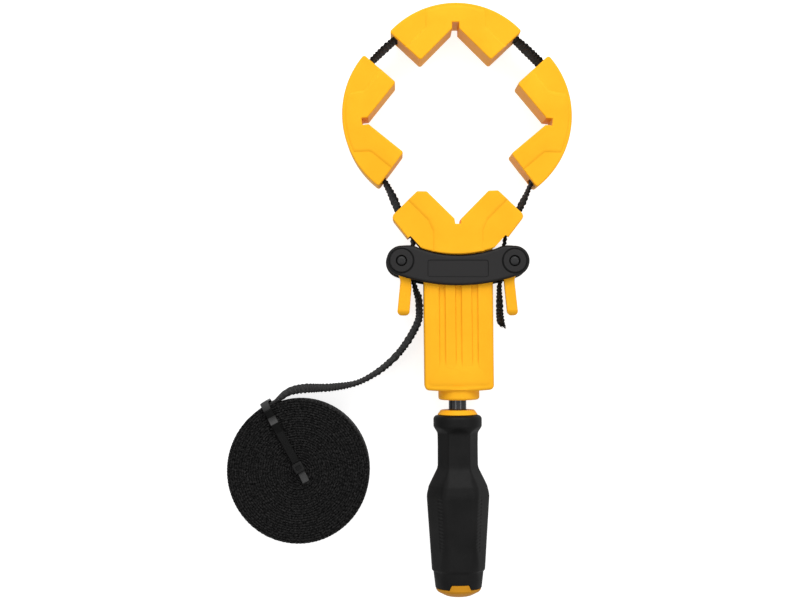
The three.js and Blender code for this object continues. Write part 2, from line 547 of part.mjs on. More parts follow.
function bandRoute() {
  const rise = [
    at(BAND_X, TAIL_TOP_Y + GAP), at(BAND_X, PIVOT.y), at(BAND_X, LOWER_EXIT.y - BAND_DROP),
    at(LOWER_EXIT.x, LOWER_EXIT.y), at(LOWER_ENTRY.x, LOWER_ENTRY.y),
  ];
  const [first, last] = [-1, 1].map((side) => Math.PI / 2 + side * PASSAGE_HALF_ANGLE);
  const inJaw = arc(0, JAW_ARC_Y, PASSAGE_RADIUS, first, last, 12);
  const right = [...rise, ...inJaw.map((p) => onJaw('right_jaw', p))];
  const left = right.map((p) => at(-p.x, p.y)).reverse();
  return [...right, ...inJaw.map((p) => onJaw('top_jaw', p)), ...left];
}

place('band_loop', ribbon(standing(bandRoute(), () => MID)), WEBBING);
const shortTail = standing(smoothRoute(RIGHT_TAIL, 8), () => MID, (t) => between(RIGHT_TAIL_LEAN, t));
place('band_tail_right', ribbon(shortTail), WEBBING);

const coilMiddle = COIL.low + BAND_WIDTH / 2;
const coilAt = (angle) => {
  const turn = (angle - COIL_START) / (2 * Math.PI);
  const radius = COIL.outer + (COIL.inner - COIL.outer) * turn / COIL.turns;
  return at(COIL.x + radius * Math.cos(angle), COIL.y + COIL_OVAL * radius * Math.sin(angle));
};
const beforeCoil = coilAt(COIL_START - GAP / COIL.outer);
const tailRoute = smoothRoute([...LEFT_TAIL, [beforeCoil.x, beforeCoil.y]], 48);
const ease = (t) => t * t * (3 - 2 * t);
const tailRestMiddle = TAIL_REST.low + BAND_WIDTH / 2;
const tailHeight = (t) => (t < TAIL_REST.share
  ? MID + (tailRestMiddle - MID) * ease(t / TAIL_REST.share)
  : tailRestMiddle + (coilMiddle - tailRestMiddle) * ease((t - TAIL_REST.share) / (1 - TAIL_REST.share)));
const tailLean = (t) => between(LEFT_TAIL_LEAN, t);
place('band_tail_left', ribbon(standing(tailRoute, tailHeight, tailLean)), WEBBING);

const coilSteps = COIL.turns * COIL.stepsPerTurn;
const coilStep = 2 * Math.PI / COIL.stepsPerTurn;
const coilRoute = Array.from({ length: coilSteps + 1 }, (_, i) => coilAt(COIL_START + i * coilStep));
const coilPlaces = standing(coilRoute, () => coilMiddle);
place('band_coil', ribbon(coilPlaces), WEBBING);

// Least distance between facing sides of neighbouring turns, from each point of one side to the
// stretches of the other side that lie about one turn further on.
function leastGap(places) {
  const half = BAND_THICK / 2;
  const sides = [half, -half].map((n) => places.map(({ p, normal }) => p.clone().addScaledVector(normal, n)));
  const nearest = new THREE.Vector3();
  let least = Infinity;
  sides.forEach((side, k) => side.forEach((p, i) => {
    const other = sides[1 - k];
    const end = Math.min(other.length, i + 2 * COIL.stepsPerTurn) - 1;
    for (let j = i + COIL.stepsPerTurn / 2; j < end; j += 1) {
      new THREE.Line3(other[j], other[j + 1]).closestPointToPoint(p, true, nearest);
      least = Math.min(least, nearest.distanceTo(p));
    }
  }));
  return least;
}
console.log(`least gap between the coil's turns: ${leastGap(coilPlaces).toFixed(3)} mm`);

// Tie: a strap over the coil, down its middle and back underneath, closed by a square head

function tieStrap() {
  const half = TIE.thick / 2;
  const topZ = COIL.low + BAND_WIDTH + GAP + half;
  const underZ = TIE.low + half;
  const route = [
    at(TIE.inner - half, topZ - 1), at(TIE.inner - half, underZ), at(TIE.outer - half, underZ),
    at(TIE.outer - half, topZ), at(TIE_HEAD.out + TIE_HEAD.half + GAP, topZ),
  ];
  const offset = (n) => route.map((p, i) => {
    const before = i ? p.clone().sub(route[i - 1]).normalize() : null;
    const after = i + 1 < route.length ? route[i + 1].clone().sub(p).normalize() : null;
    const sides = [before, after].filter(Boolean).map((d) => at(-d.y, d.x));
    const shift = sides.length > 1 ? sides[0].add(sides[1]) : sides[0];
    return p.clone().addScaledVector(shift, n * half);
  });
  const outline = new THREE.Shape([...offset(1), ...offset(-1).reverse()]);
  return new THREE.ExtrudeGeometry(outline, { depth: TIE.width, bevelEnabled: false });
}

const tie = new THREE.Group();
tie.position.set(COIL.x, COIL.y, 0);
tie.rotation.z = TIE.angle;
clamp.add(tie);
const strapSolid = solidOf(tieStrap().translate(0, 0, -TIE.width / 2).rotateX(Math.PI / 2));
tie.add(place('tie_strap', strapSolid, BLACK_PLASTIC));
const headLow = COIL.low + BAND_WIDTH + GAP;
const headSide = [-TIE_HEAD.half, TIE_HEAD.half];
const headAlong = headSide.map((u) => TIE_HEAD.out + u);
const head = box(headAlong, headSide, [headLow, headLow + TIE_HEAD.high]);
const stubHalf = TIE.width / 2 - GAP;
const stubLow = headLow + TIE_HEAD.stubLow;
const stubAlong = [headAlong[0] - TIE_HEAD.stub, TIE_HEAD.out];
const stub = box(stubAlong, [-stubHalf, stubHalf], [stubLow, stubLow + TIE.thick]);
tie.add(place('tie_head', head.add(stub), BLACK_PLASTIC));

export default clamp;
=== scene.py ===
# Band clamp with a screwdriver grip, dressed round its CAD frame. Sizes are millimetres until a mesh is made.
import math
import random
import bmesh
import bpy
from mathutils import Matrix, Vector, noise


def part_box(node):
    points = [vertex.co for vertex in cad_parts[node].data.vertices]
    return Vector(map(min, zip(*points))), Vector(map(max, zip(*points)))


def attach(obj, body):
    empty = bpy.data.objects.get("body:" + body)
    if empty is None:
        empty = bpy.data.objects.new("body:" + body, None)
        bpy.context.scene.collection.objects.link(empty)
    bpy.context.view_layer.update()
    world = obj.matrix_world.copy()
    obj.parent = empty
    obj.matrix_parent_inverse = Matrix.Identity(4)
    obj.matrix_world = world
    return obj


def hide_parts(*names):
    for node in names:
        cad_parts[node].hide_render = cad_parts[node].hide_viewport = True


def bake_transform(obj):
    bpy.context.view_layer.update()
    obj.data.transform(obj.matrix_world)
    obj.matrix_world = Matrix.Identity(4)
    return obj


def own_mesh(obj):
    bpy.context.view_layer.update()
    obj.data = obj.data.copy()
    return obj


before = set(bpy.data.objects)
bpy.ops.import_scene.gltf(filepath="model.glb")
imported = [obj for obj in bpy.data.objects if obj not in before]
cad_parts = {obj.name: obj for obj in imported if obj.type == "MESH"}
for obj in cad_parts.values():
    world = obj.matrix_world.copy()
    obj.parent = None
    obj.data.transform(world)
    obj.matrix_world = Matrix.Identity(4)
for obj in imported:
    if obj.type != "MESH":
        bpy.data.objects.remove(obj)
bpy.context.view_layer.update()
scene = bpy.context.scene
mm = 0.001
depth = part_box("top_jaw")[1].z / mm  # front to back of the jaws
mid = depth / 2  # plane of the screw, the band and the shells' joint
print("frame loaded,", len(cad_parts), "nodes")

# camera, straight above the bench as in the photo
photoView = {"at": (-34.9, 1.1, 1121.0), "lens": 80.8, "sensor": 36.0, "roll": -0.35}
cameraData = bpy.data.cameras.new("photoView")
cameraData.lens = photoView["lens"]
cameraData.sensor_width = photoView["sensor"]
camera = bpy.data.objects.new("photoView", cameraData)
camera.location = [v * mm for v in photoView["at"]]
camera.rotation_euler.z = math.radians(photoView["roll"])
scene.collection.objects.link(camera)
scene.camera = camera


# outlines

def arcPoints(centre, radius, first, last, steps):  # degrees
    turn = [math.radians(first + (last - first) * k / steps) for k in range(steps + 1)]
    return [(centre[0] + radius * math.cos(a), centre[1] + radius * math.sin(a)) for a in turn]


def circle(centre, radius, sides=48):
    return arcPoints(centre, radius, 0, 360 * (sides - 1) / sides, sides - 1)


def boxOutline(x, y):
    return [(x[0], y[0]), (x[1], y[0]), (x[1], y[1]), (x[0], y[1])]


def roundedPath(corners, steps=6, closed=True):  # corners are (x, y) or (x, y, radius)
    path = []
    for i, corner in enumerate(corners):
        here = Vector(corner[:2])
        if len(corner) < 3 or not (closed or 0 < i < len(corners) - 1):
            path.append(here)
            continue
        toBefore = (Vector(corners[i - 1][:2]) - here).normalized()
        toAfter = (Vector(corners[(i + 1) % len(corners)][:2]) - here).normalized()
        half = toBefore.angle(toAfter) / 2
        centre = here + (toBefore + toAfter).normalized() * corner[2] / math.sin(half)
        first = here + toBefore * corner[2] / math.tan(half) - centre
        turn = first.angle_signed(here + toAfter * corner[2] / math.tan(half) - centre)
        path += [centre + Matrix.Rotation(-turn * k / steps, 2) @ first for k in range(steps + 1)]
    return [tuple(p) for p in path]


def roundedBox(x, y, radius):
    return roundedPath([(*corner, radius) for corner in boxOutline(x, y)])


def mirrorHalf(half):  # right half from the top of the centre line to its foot
    return half + [(-x, y) for x, y in reversed(half) if x > 0.01]


def onSide(spot, side):
    return side * spot[0], spot[1]


def insetOutline(outline, inset):
    if not inset:
        return outline
    area = sum(a[0] * b[1] - b[0] * a[1] for a, b in zip(outline, outline[1:] + outline[:1]))
    inward = 1 if area > 0 else -1
    points, moved = [Vector(p) for p in outline], []
    for i, here in enumerate(points):
        before = (here - points[i - 1]).normalized()
        after = (points[(i + 1) % len(points)] - here).normalized()
        sideA = Vector((-before.y, before.x)) * inward
        sideB = Vector((-after.y, after.x)) * inward
        moved.append(tuple(here + (sideA + sideB) * inset / max(1 + sideA.dot(sideB), 0.3)))
    return moved


# meshes

def addPiece(name, verts, faces):
    mesh = bpy.data.meshes.new(name)
    mesh.from_pydata([Vector(v) * mm for v in verts], [], faces)
    piece = bpy.data.objects.new(name, mesh)
    scene.collection.objects.link(piece)
    return piece


def outward(piece):
    work = bmesh.new()
    work.from_mesh(piece.data)
    bmesh.ops.recalc_face_normals(work, faces=work.faces)
    work.to_mesh(piece.data)
    work.free()
    return piece


def ringFaces(rows, count, first=0):  # quads between rings of equal count
    starts = [first + r * count for r in range(rows - 1)]
    pairs = [(start + k, start + (k + 1) % count) for start in starts for k in range(count)]
    return [(a, b, b + count, a + count) for a, b in pairs]


def stackRings(name, rings):  # closed solid from rings of equal count
    count, last = len(rings[0]), (len(rings) - 1) * len(rings[0])
    faces = [tuple(range(count))[::-1], *ringFaces(len(rings), count), tuple(range(last, last + count))]
    return outward(addPiece(name, [p for ring in rings for p in ring], faces))


def stackLevels(name, outline, levels):  # levels are (inset, z)
    return stackRings(name, [[(x, y, z) for x, y in insetOutline(outline, inset)] for inset, z in levels])


# edges rounded at the foot and the top, with a brace ring beside each
def mouldedPrism(name, outline, low, high, foot=0.0, top=0.0, brace=0.25, steps=4):
    quarter = [math.pi / 2 * k / steps for k in range(steps + 1)]
    levels = [(0, low)]
    if foot:
        levels = [(foot + brace, low)]
        levels += [(foot * (1 - math.sin(a)), low + foot * (1 - math.cos(a))) for a in quarter]
        levels.append((0, low + foot + brace))
    if top:
        levels.append((0, high - top - brace))
        levels += [(top * (1 - math.cos(a)), high - top + top * math.sin(a)) for a in quarter]
        levels.append((top + brace, high))
    else:
        levels.append((0, high))
    return stackLevels(name, outline, levels)


def disc(name, centre, radius, low, high, foot=0.0, top=0.0, sides=48):
    return mouldedPrism(name, circle(centre, radius, sides), low, high, foot, top)


def slopedBlock(name, outline, low, high, rise, ramp, over=0.0):  # both faces step up on a soft slope
    half = [(-ramp, rise + 0.25), (-0.55 * ramp, 0.62 * rise), (0, 0.1), (0.45, 0)]
    if over:
        half.append((0.45 + 2 * over, -over))
    levels = [(inset, low + z) for inset, z in reversed(half)] + [(inset, high - z) for inset, z in half]
    return stackLevels(name, outline, levels)


def turnedPiece(name, profile, sides=96):  # (radius, y) points round the screw's axis
    verts, rows, faces = [], [], []
    turn = [2 * math.pi * k / sides for k in range(sides)]
    for radius, y in profile:
        if radius < 0.001:
            rows.append([len(verts)] * sides)
            verts.append((0, y, mid))
            continue
        rows.append([len(verts) + k for k in range(sides)])
        verts += [(radius * math.sin(a), y, mid + radius * math.cos(a)) for a in turn]
    if profile[0] == profile[-1]:
        verts = verts[:-sides]
        rows[-1] = rows[0]
    for low, high in zip(rows, rows[1:]):
        for k in range(sides):
            ring = [low[k], low[(k + 1) % sides], high[(k + 1) % sides], high[k]]
            faces.append([v for i, v in enumerate(ring) if v not in ring[:i]])
    return outward(addPiece(name, verts, faces))


def freeze(piece):  # modifiers into a plain mesh
    graph = bpy.context.evaluated_depsgraph_get()
    mesh = bpy.data.meshes.new_from_object(piece.evaluated_get(graph))
    piece.modifiers.clear()
    piece.data = mesh
    mesh.name = piece.name
    return piece


def combine(piece, others, operation):
    for other in others:
        step = piece.modifiers.new("combine", "BOOLEAN")
        step.operation = operation
        step.solver = "EXACT"
        step.object = other
        freeze(piece)
        bpy.data.objects.remove(other)
    return piece


def copyPiece(piece, name):
    twin = bpy.data.objects.new(name, piece.data.copy())
    scene.collection.objects.link(twin)
    return twin


def placed(x, y, degrees):
    return Matrix.Translation(Vector((x, y, 0)) * mm) @ Matrix.Rotation(math.radians(degrees), 4, "Z")


def seat(aside, pivot, degrees):  # moved aside, and turned about a point on the centre line
    there = Matrix.Translation((aside * mm, pivot * mm, 0)) @ Matrix.Rotation(math.radians(degrees), 4, "Z")
    return there @ Matrix.Translation((0, -pivot * mm, 0))


# node trees

def makeTree(kind, name, sizes, outputs=()):
    tree = bpy.data.node_groups.new(name, kind)
    if kind == "GeometryNodeTree":
        for way in ("INPUT", "OUTPUT"):
            tree.interface.new_socket("Geometry", in_out=way, socket_type="NodeSocketGeometry")
    for label, value in sizes.items():
        tree.interface.new_socket(label, in_out="INPUT", socket_type="NodeSocketFloat").default_value = value
    for label in outputs:
        tree.interface.new_socket(label, in_out="OUTPUT", socket_type="NodeSocketFloat")
    return tree, tree.nodes.new("NodeGroupInput").outputs, tree.nodes.new("NodeGroupOutput").inputs


def feed(tree, socket, value):  # an output is linked, anything else is set
    if isinstance(value, bpy.types.NodeSocket):
        tree.links.new(value, socket)
    else:
        socket.default_value = value


def addNode(tree, kind, **settings):  # attributes, or sockets with _ for a space
    node = tree.nodes.new(kind)
    for label, value in settings.items():
        if hasattr(node, label):
            setattr(node, label, value)
        else:
            feed(tree, node.inputs[label.replace("_", " ")], value)
    return node


def calc(tree, operation, *values):
    node = addNode(tree, "ShaderNodeMath", operation=operation)
    for i, value in enumerate(values):
        feed(tree, node.inputs[i], value)
    return node.outputs[0]


def noiseNode(tree, vector, scale, detail, roughness=0.5):
    node = addNode(tree, "ShaderNodeTexNoise", Vector=vector, Scale=scale, Detail=detail, Roughness=roughness)
    return node.outputs["Fac"]


def objectPlace(tree):
    return tree.nodes.new("ShaderNodeTexCoord").outputs["Object"]


# finishes

def mouldGrainGroup():  # fine eroded grain and slow mottling of a moulded surface
    sizes = {"Grain": 2200.0, "Mottle": 60.0}
    group, given, out = makeTree("ShaderNodeTree", "mouldGrain", sizes, ("Height", "Tone", "Scuff"))
    place = objectPlace(group)
    grain = noiseNode(group, place, given["Grain"], 3.0, 0.6)
    flow = noiseNode(group, place, calc(group, "MULTIPLY", given["Mottle"], 7.0), 2.0)
    feed(group, out["Height"], calc(group, "MULTIPLY_ADD", flow, 0.35, grain))
    feed(group, out["Tone"], noiseNode(group, place, given["Mottle"], 4.0, 0.55))
    feed(group, out["Scuff"], calc(group, "MULTIPLY", grain, flow))
    return group


def weaveGroup():  # ribbed faces, speckled selvedges, on the band's own UV: centimetres, u across, v along
    sizes = {"Warp": 7.0, "Weft": 5.0, "Slant": 2.6, "Speck": 800.0}
    group, given, out = makeTree("ShaderNodeTree", "bandWeave", sizes, ("Height", "Tone"))
    uv = addNode(group, "ShaderNodeUVMap", uv_map="band")
    split = addNode(group, "ShaderNodeSeparateXYZ", Vector=uv.outputs[0])
    u, v = split.outputs["X"], split.outputs["Y"]
    across = calc(group, "MULTIPLY", calc(group, "MULTIPLY", u, given["Warp"]), math.pi)
    cord = calc(group, "ABSOLUTE", calc(group, "SINE", across))
    along = calc(group, "MULTIPLY", v, given["Weft"])
    phase = calc(group, "MULTIPLY_ADD", along, 2 * math.pi, calc(group, "MULTIPLY", u, given["Slant"]))
    over = calc(group, "MULTIPLY_ADD", calc(group, "SINE", phase), 0.5, 0.5)
    ribs = calc(group, "MULTIPLY", over, calc(group, "MULTIPLY_ADD", cord, 0.3, 0.7))
    place = objectPlace(group)
    fuzz = noiseNode(group, place, 2600.0, 4.0, 0.65)
    speck = noiseNode(group, place, given["Speck"], 3.0, 0.7)
    speckle = calc(group, "MULTIPLY_ADD", speck, 2.2, -0.58)
    fromMiddle = calc(group, "ABSOLUTE", calc(group, "SUBTRACT", u, 1.27))
    onEdge = calc(group, "GREATER_THAN", fromMiddle, 1.2)
    blend = addNode(group, "ShaderNodeMix")
    for i, source in ((0, onEdge), (2, ribs), (3, speckle)):
        feed(group, blend.inputs[i], source)
    surface = blend.outputs[0]
    feed(group, out["Height"], calc(group, "MULTIPLY_ADD", fuzz, 0.35, surface))
    feed(group, out["Tone"], calc(group, "MULTIPLY", surface, calc(group, "MULTIPLY_ADD", fuzz, 1.1, 0.35)))
    return group


def turnedLinesGroup():  # fine lathe or brush lines round the screw's axis
    group, given, out = makeTree("ShaderNodeTree", "turnedLines", {"Lines": 900.0}, ("Height", "Tone"))
    place = objectPlace(group)
    stretch = addNode(group, "ShaderNodeMapping", Vector=place, Scale=(0.06, 1.0, 0.06))
    lines = noiseNode(group, stretch.outputs[0], given["Lines"], 3.0, 0.6)
    cloud = noiseNode(group, place, 140.0, 3.0)
    feed(group, out["Height"], lines)
    feed(group, out["Tone"], calc(group, "MULTIPLY_ADD", cloud, 0.6, calc(group, "MULTIPLY", lines, 0.4)))
    return group


def paintedLightGrainGroup():  # fine grain, and painted light: paler where the mesh's painted-light attribute says so
    sizes = {"Grain": 700.0, "Painted Light": 0.42}
    group, given, out = makeTree("ShaderNodeTree", "paintedLightGrain", sizes, ("Height", "Tone"))
    grain = noiseNode(group, objectPlace(group), given["Grain"], 3.0, 0.6)
    paintedLightShare = addNode(group, "ShaderNodeAttribute", attribute_name="paintedLight").outputs["Fac"]
    paintedLightLift = calc(group, "MULTIPLY", paintedLightShare, given["Painted Light"])
    feed(group, out["Height"], grain)
    feed(group, out["Tone"], calc(group, "ADD", calc(group, "MULTIPLY_ADD", grain, 0.08, 0.265), paintedLightLift))
    return group


grainGroup, bandGroup = mouldGrainGroup(), weaveGroup()
linesGroup, paintedLightGroup = turnedLinesGroup(), paintedLightGrainGroup()
yellowMould = {
    "slot": "yellow_plastic", "group": grainGroup, "inputs": {"Grain": 1500.0, "Mottle": 45.0},
    "rough": (0.42, 0.68), "bump": (0.08, 0.0002),
    "fixed": {"Specular IOR Level": 0.2, "Specular Tint": (1.0, 0.62, 0.22, 1.0)}}
looks = {  # tones are dark and light, bump is strength and distance, fixed are the shader's own sockets
    "yellowPlastic": {**yellowMould, "tones": ((0.89, 0.408, 0.0150), (0.95, 0.452, 0.0190))},
    # painted shade: a darker copy of the yellow plastic for the end cap, which faces away from the light above
    "yellowPaintedShade": {**yellowMould, "tones": ((0.53, 0.225, 0.0130), (0.60, 0.265, 0.0160))},
    # yokeBlack: its dark tone is painted shade on the plates' rounded edges, rings and recesses
    "yokeBlack": {
        "slot": "black_plastic", "group": paintedLightGroup, "inputs": {"Grain": 1700.0},
        "tones": ((0.0042, 0.0042, 0.0042), (0.0166, 0.0158, 0.0161)),
        "rough": (0.42, 0.66), "bump": (0.14, 0.0002), "fixed": {"Specular IOR Level": 0.22}},
    "gripRubber": {
        "slot": "grip_rubber", "group": grainGroup, "inputs": {"Grain": 1300.0, "Mottle": 70.0},
        "tones": ((0.0048, 0.0048, 0.0048), (0.0088, 0.0086, 0.0086)),
        "rough": (0.46, 0.68), "bump": (0.18, 0.0002), "fixed": {"Specular IOR Level": 0.13}},
    "webbing": {
        "slot": "webbing", "group": bandGroup, "inputs": {"Warp": 7.0, "Weft": 4.0}, "rough": (0.6, 0.85),
        "tones": ((0.0018, 0.0018, 0.0019), (0.025, 0.0243, 0.0243)), "bump": (0.8, 0.0005),
        "fixed": {"Specular IOR Level": 0.075, "Sheen Weight": 0.02, "Sheen Roughness": 0.5}},
    # tieNylon: its light tone is a painted highlight on the bends, the stub and the top face
    "tieNylon": {
        "slot": "tie_nylon", "group": paintedLightGroup, "inputs": {"Grain": 700.0},
        "tones": ((0.0035, 0.0035, 0.0035), (0.060, 0.060, 0.060)),
        "rough": (0.25, 0.4), "bump": (0.06, 0.0002), "fixed": {"Specular IOR Level": 0.09}},
    "blackSteel": {
        "slot": "black_steel", "group": linesGroup, "inputs": {"Lines": 1400.0},
        "tones": ((0.035, 0.035, 0.036), (0.08, 0.08, 0.082)), "rough": (0.10, 0.2), "bump": (0.05, 0.0001),
        "fixed": {"Metallic": 1.0}},
    "blackOxide": {
        "slot": "black_steel", "group": linesGroup, "inputs": {"Lines": 1400.0},
        "tones": ((0.011, 0.011, 0.0115), (0.02, 0.02, 0.0205)), "rough": (0.3, 0.45), "bump": (0.06, 0.0001),
        "fixed": {"Specular IOR Level": 0.3}},
    "zincPlate": {
        "slot": "zinc_screw", "group": linesGroup, "inputs": {"Lines": 900.0},
        "tones": ((0.42, 0.43, 0.45), (0.60, 0.61, 0.63)), "rough": (0.25, 0.5), "bump": (0.10, 0.0001),
        "fixed": {"Metallic": 1.0}},
    "bronzeMetal": {  # on CAD nodes only, which have their slots
        "group": linesGroup, "inputs": {"Lines": 1100.0},
        "tones": ((0.34, 0.20, 0.075), (0.48, 0.30, 0.12)), "rough": (0.28, 0.5), "bump": (0.12, 0.0001),
        "fixed": {"Metallic": 1.0}}}
rampEnds = (0.3, 0.72)


def makeFinish(name, look):
    finish = bpy.data.materials.new(name)
    finish.use_nodes = True
    tree = finish.node_tree
    shader = tree.nodes["Principled BSDF"]
    effect = addNode(tree, "ShaderNodeGroup", node_tree=look["group"])
    for label, value in look["inputs"].items():
        effect.inputs[label].default_value = value
    tone, height = effect.outputs["Tone"], effect.outputs["Height"]
    ramp = addNode(tree, "ShaderNodeValToRGB", Fac=tone)
    for stop, place, colour in zip(ramp.color_ramp.elements, rampEnds, look["tones"]):
        stop.position, stop.color = place, (*colour, 1)
    low, high = look["rough"]
    scuff = effect.outputs.get("Scuff", tone)
    span = addNode(tree, "ShaderNodeMapRange", Value=scuff, To_Min=low, To_Max=high)
    strength, distance = look["bump"]
    relief = addNode(tree, "ShaderNodeBump", Strength=strength, Distance=distance, Height=height)
    varying = {
        "Base Color": ramp.outputs["Color"], "Roughness": span.outputs["Result"],
        "Normal": relief.outputs["Normal"]}
    for label, value in {**varying, **look["fixed"]}.items():
        feed(tree, shader.inputs[label], value)
    return finish


finishes = {name: makeFinish(name, look) for name, look in looks.items()}
print("finishes made")


def dress(piece, finish, body, nodes, sharp=32):
    mesh = piece.data
    mesh.materials.clear()
    mesh.materials.append(finishes[finish])
    mesh.polygons.foreach_set("use_smooth", [True] * len(mesh.polygons))
    mesh.set_sharp_from_angle(angle=math.radians(sharp))
    if body:
        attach(piece, body)
    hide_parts(*nodes)


def dressBand(piece, body, *nodes):
    dress(piece, "webbing", body, nodes or ["band_loop"], sharp=60)


# bench and studio light

studio = {
    "sky": 0.62, "bench": 3.0,
    "paint": {"Base Color": (0.5, 0.5, 0.5, 1), "Roughness": 0.9, "Specular IOR Level": 0.1,
              "Emission Color": (1, 1, 1, 1), "Emission Strength": 0.8},
    "strips": [  # place, width and length, watts
        ((0.06, 0.76, 0.76), (1.5, 0.7), 9.6), ((-0.55, -0.15, 1.3), (0.34, 0.5), 1.3),
        ((0.9, -0.15, 1.13), (0.34, 0.5), 1.5), ((0.12, -0.1, 1.35), (0.4, 0.4), 0.4)]}
benchEnds = (-studio["bench"] / mm / 2, studio["bench"] / mm / 2)
bench = addPiece("bench", [(x, y, 0) for x, y in boxOutline(benchEnds, benchEnds)], [(0, 1, 2, 3)])
benchPaint = bpy.data.materials.new("benchPaint")
benchPaint.use_nodes = True
for label, value in studio["paint"].items():
    benchPaint.node_tree.nodes["Principled BSDF"].inputs[label].default_value = value
bench.data.materials.append(benchPaint)
bench.visible_diffuse = bench.visible_glossy = bench.visible_shadow = False  # lights nothing but itself
world = scene.world or bpy.data.worlds.new("studio")
scene.world = world
world.use_nodes = True
sky = world.node_tree.nodes["Background"].inputs
sky["Color"].default_value, sky["Strength"].default_value = (1, 1, 1, 1), studio["sky"]
for i, (spot, sides, power) in enumerate(studio["strips"]):
    softBox = bpy.data.lights.new(f"softBox{i}", "AREA")
    softBox.shape = "RECTANGLE"
    softBox.size, softBox.size_y = sides
    softBox.energy = power
    lamp = bpy.data.objects.new(f"softBox{i}", softBox)
    lamp.location = spot
    lamp.rotation_euler = (-Vector(spot)).to_track_quat("-Z", "Y").to_euler()
    scene.collection.objects.link(lamp)
scene.view_settings.view_transform = "Standard"
print("bench and light set")


# webbing band: loop through the jaws, short tail, long tail wound into a coil

band = {
    "width": 25.4, "thick": 1.15, "wound": 0.76, "x": 27.3, "overCam": 6, "tailTop": 13.9, "lap": 0.3,
    "period": 2.5, "perPeriod": 5, "selvedge": 0.45, "scallop": 0.8, "sway": 0.7, "ripple": 0.62,
    "settle": 4, "rippleSettle": 1.65,  # powers: how soon tight winding takes the play and the ripple
    "drift": (26.0, 0.021), "jitter": (5.0, 0.13), "swell": (0.7, 0.45, 0.31),  # sizes, then rates along it
    "uAt": (0.0, 0.04, 1.27, 2.5, 2.54, 2.5, 1.27, 0.04)}  # centimetres across, for the weave
level = ((0, 0), (1, 0))
tail = {
    "route": [
        (-27.2, 13.9), (-26.0, 10.2), (-25.1, 6.6), (-23.6, 2.4), (-23.1, -4.4), (-23.4, -10.5),
        (-27.3, -19.2), (-35.1, -30.6), (-43.1, -38.6), (-51.2, -44.5), (-62.2, -49.9), (-77.2, -52.4),
        (-85.9, -52.8), (-95.3, -53.1), (-103.3, -54.8), (-109.6, -58.9)],
    "leans": [
        (0, 0.04), (0.03, 0.07), (0.09, 0.13), (0.25, 0.13), (0.42, 0.11), (0.6, 0.065), (0.72, 0.11),
        (0.85, 0.15), (0.94, 0.13), (1, 0.04), (1.1, 0)],
    "low": 0.5, "lowFrom": 0.45, "unevenness": (0.36, 0.045), "tightens": 20}
short = {
    "route": [(27.0, 13.9), (26.1, 9), (26.1, 4), (26.2, -2), (26.3, -8), (26.9, -13.4)],
    "leans": [(0, 0), (0.25, 0.03), (0.55, 0.07), (1, 0.1)]}
coil = {
    "centre": (-97.3, -102.9), "oval": 1.02, "outer": 43.4, "inner": 5.4, "turns": 26, "curl": 1.65,
    "start": 111.6, "low": 1.6, "perTurn": 150}


def ease(t):
    t = min(max(t, 0), 1)
    return t * t * (3 - 2 * t)


def between(rows, place):  # value at a place in rows of (place, value)
    for (a, start), (b, end) in zip(rows, rows[1:]):
        if place <= b:
            return start + (end - start) * ease((place - a) / (b - a))
    return rows[-1][1]


def smoothRoute(points, steps=24):  # centripetal Catmull-Rom, as the CAD route
    knots = [Vector(p) for p in points]
    knots = [2 * knots[0] - knots[1], *knots, 2 * knots[-1] - knots[-2]]
    route = []
    for a, b, c, d in zip(knots, knots[1:], knots[2:], knots[3:]):
        t1 = (b - a).length ** 0.5
        t2 = t1 + (c - b).length ** 0.5
        t3 = t2 + (d - c).length ** 0.5
        for k in range(steps):
            t = t1 + (t2 - t1) * k / steps
            ab, bc, cd = a.lerp(b, t / t1), b.lerp(c, (t - t1) / (t2 - t1)), c.lerp(d, (t - t2) / (t3 - t2))
            abc, bcd = ab.lerp(bc, t / t2), bc.lerp(cd, (t - t1) / (t3 - t1))
            route.append(tuple(abc.lerp(bcd, (t - t1) / (t2 - t1))))
    return route + [tuple(knots[-2])]


def evenly(route, spacing):  # points at an even spacing, each with the length travelled, and the whole length
    points = [Vector(p) for p in route]
    lengths = [(b - a).length for a, b in zip(points, points[1:])]
    whole = sum(lengths)
    count = max(2, round(whole / spacing))
    spaced, i, done = [], 0, 0.0
    for k in range(count + 1):
        target = whole * k / count
        while i < len(lengths) - 1 and done + lengths[i] < target:
            done += lengths[i]
            i += 1
        share = min((target - done) / lengths[i], 1.0) if lengths[i] else 0.0
        spaced.append((points[i].lerp(points[i + 1], share), target))
    return spaced, whole


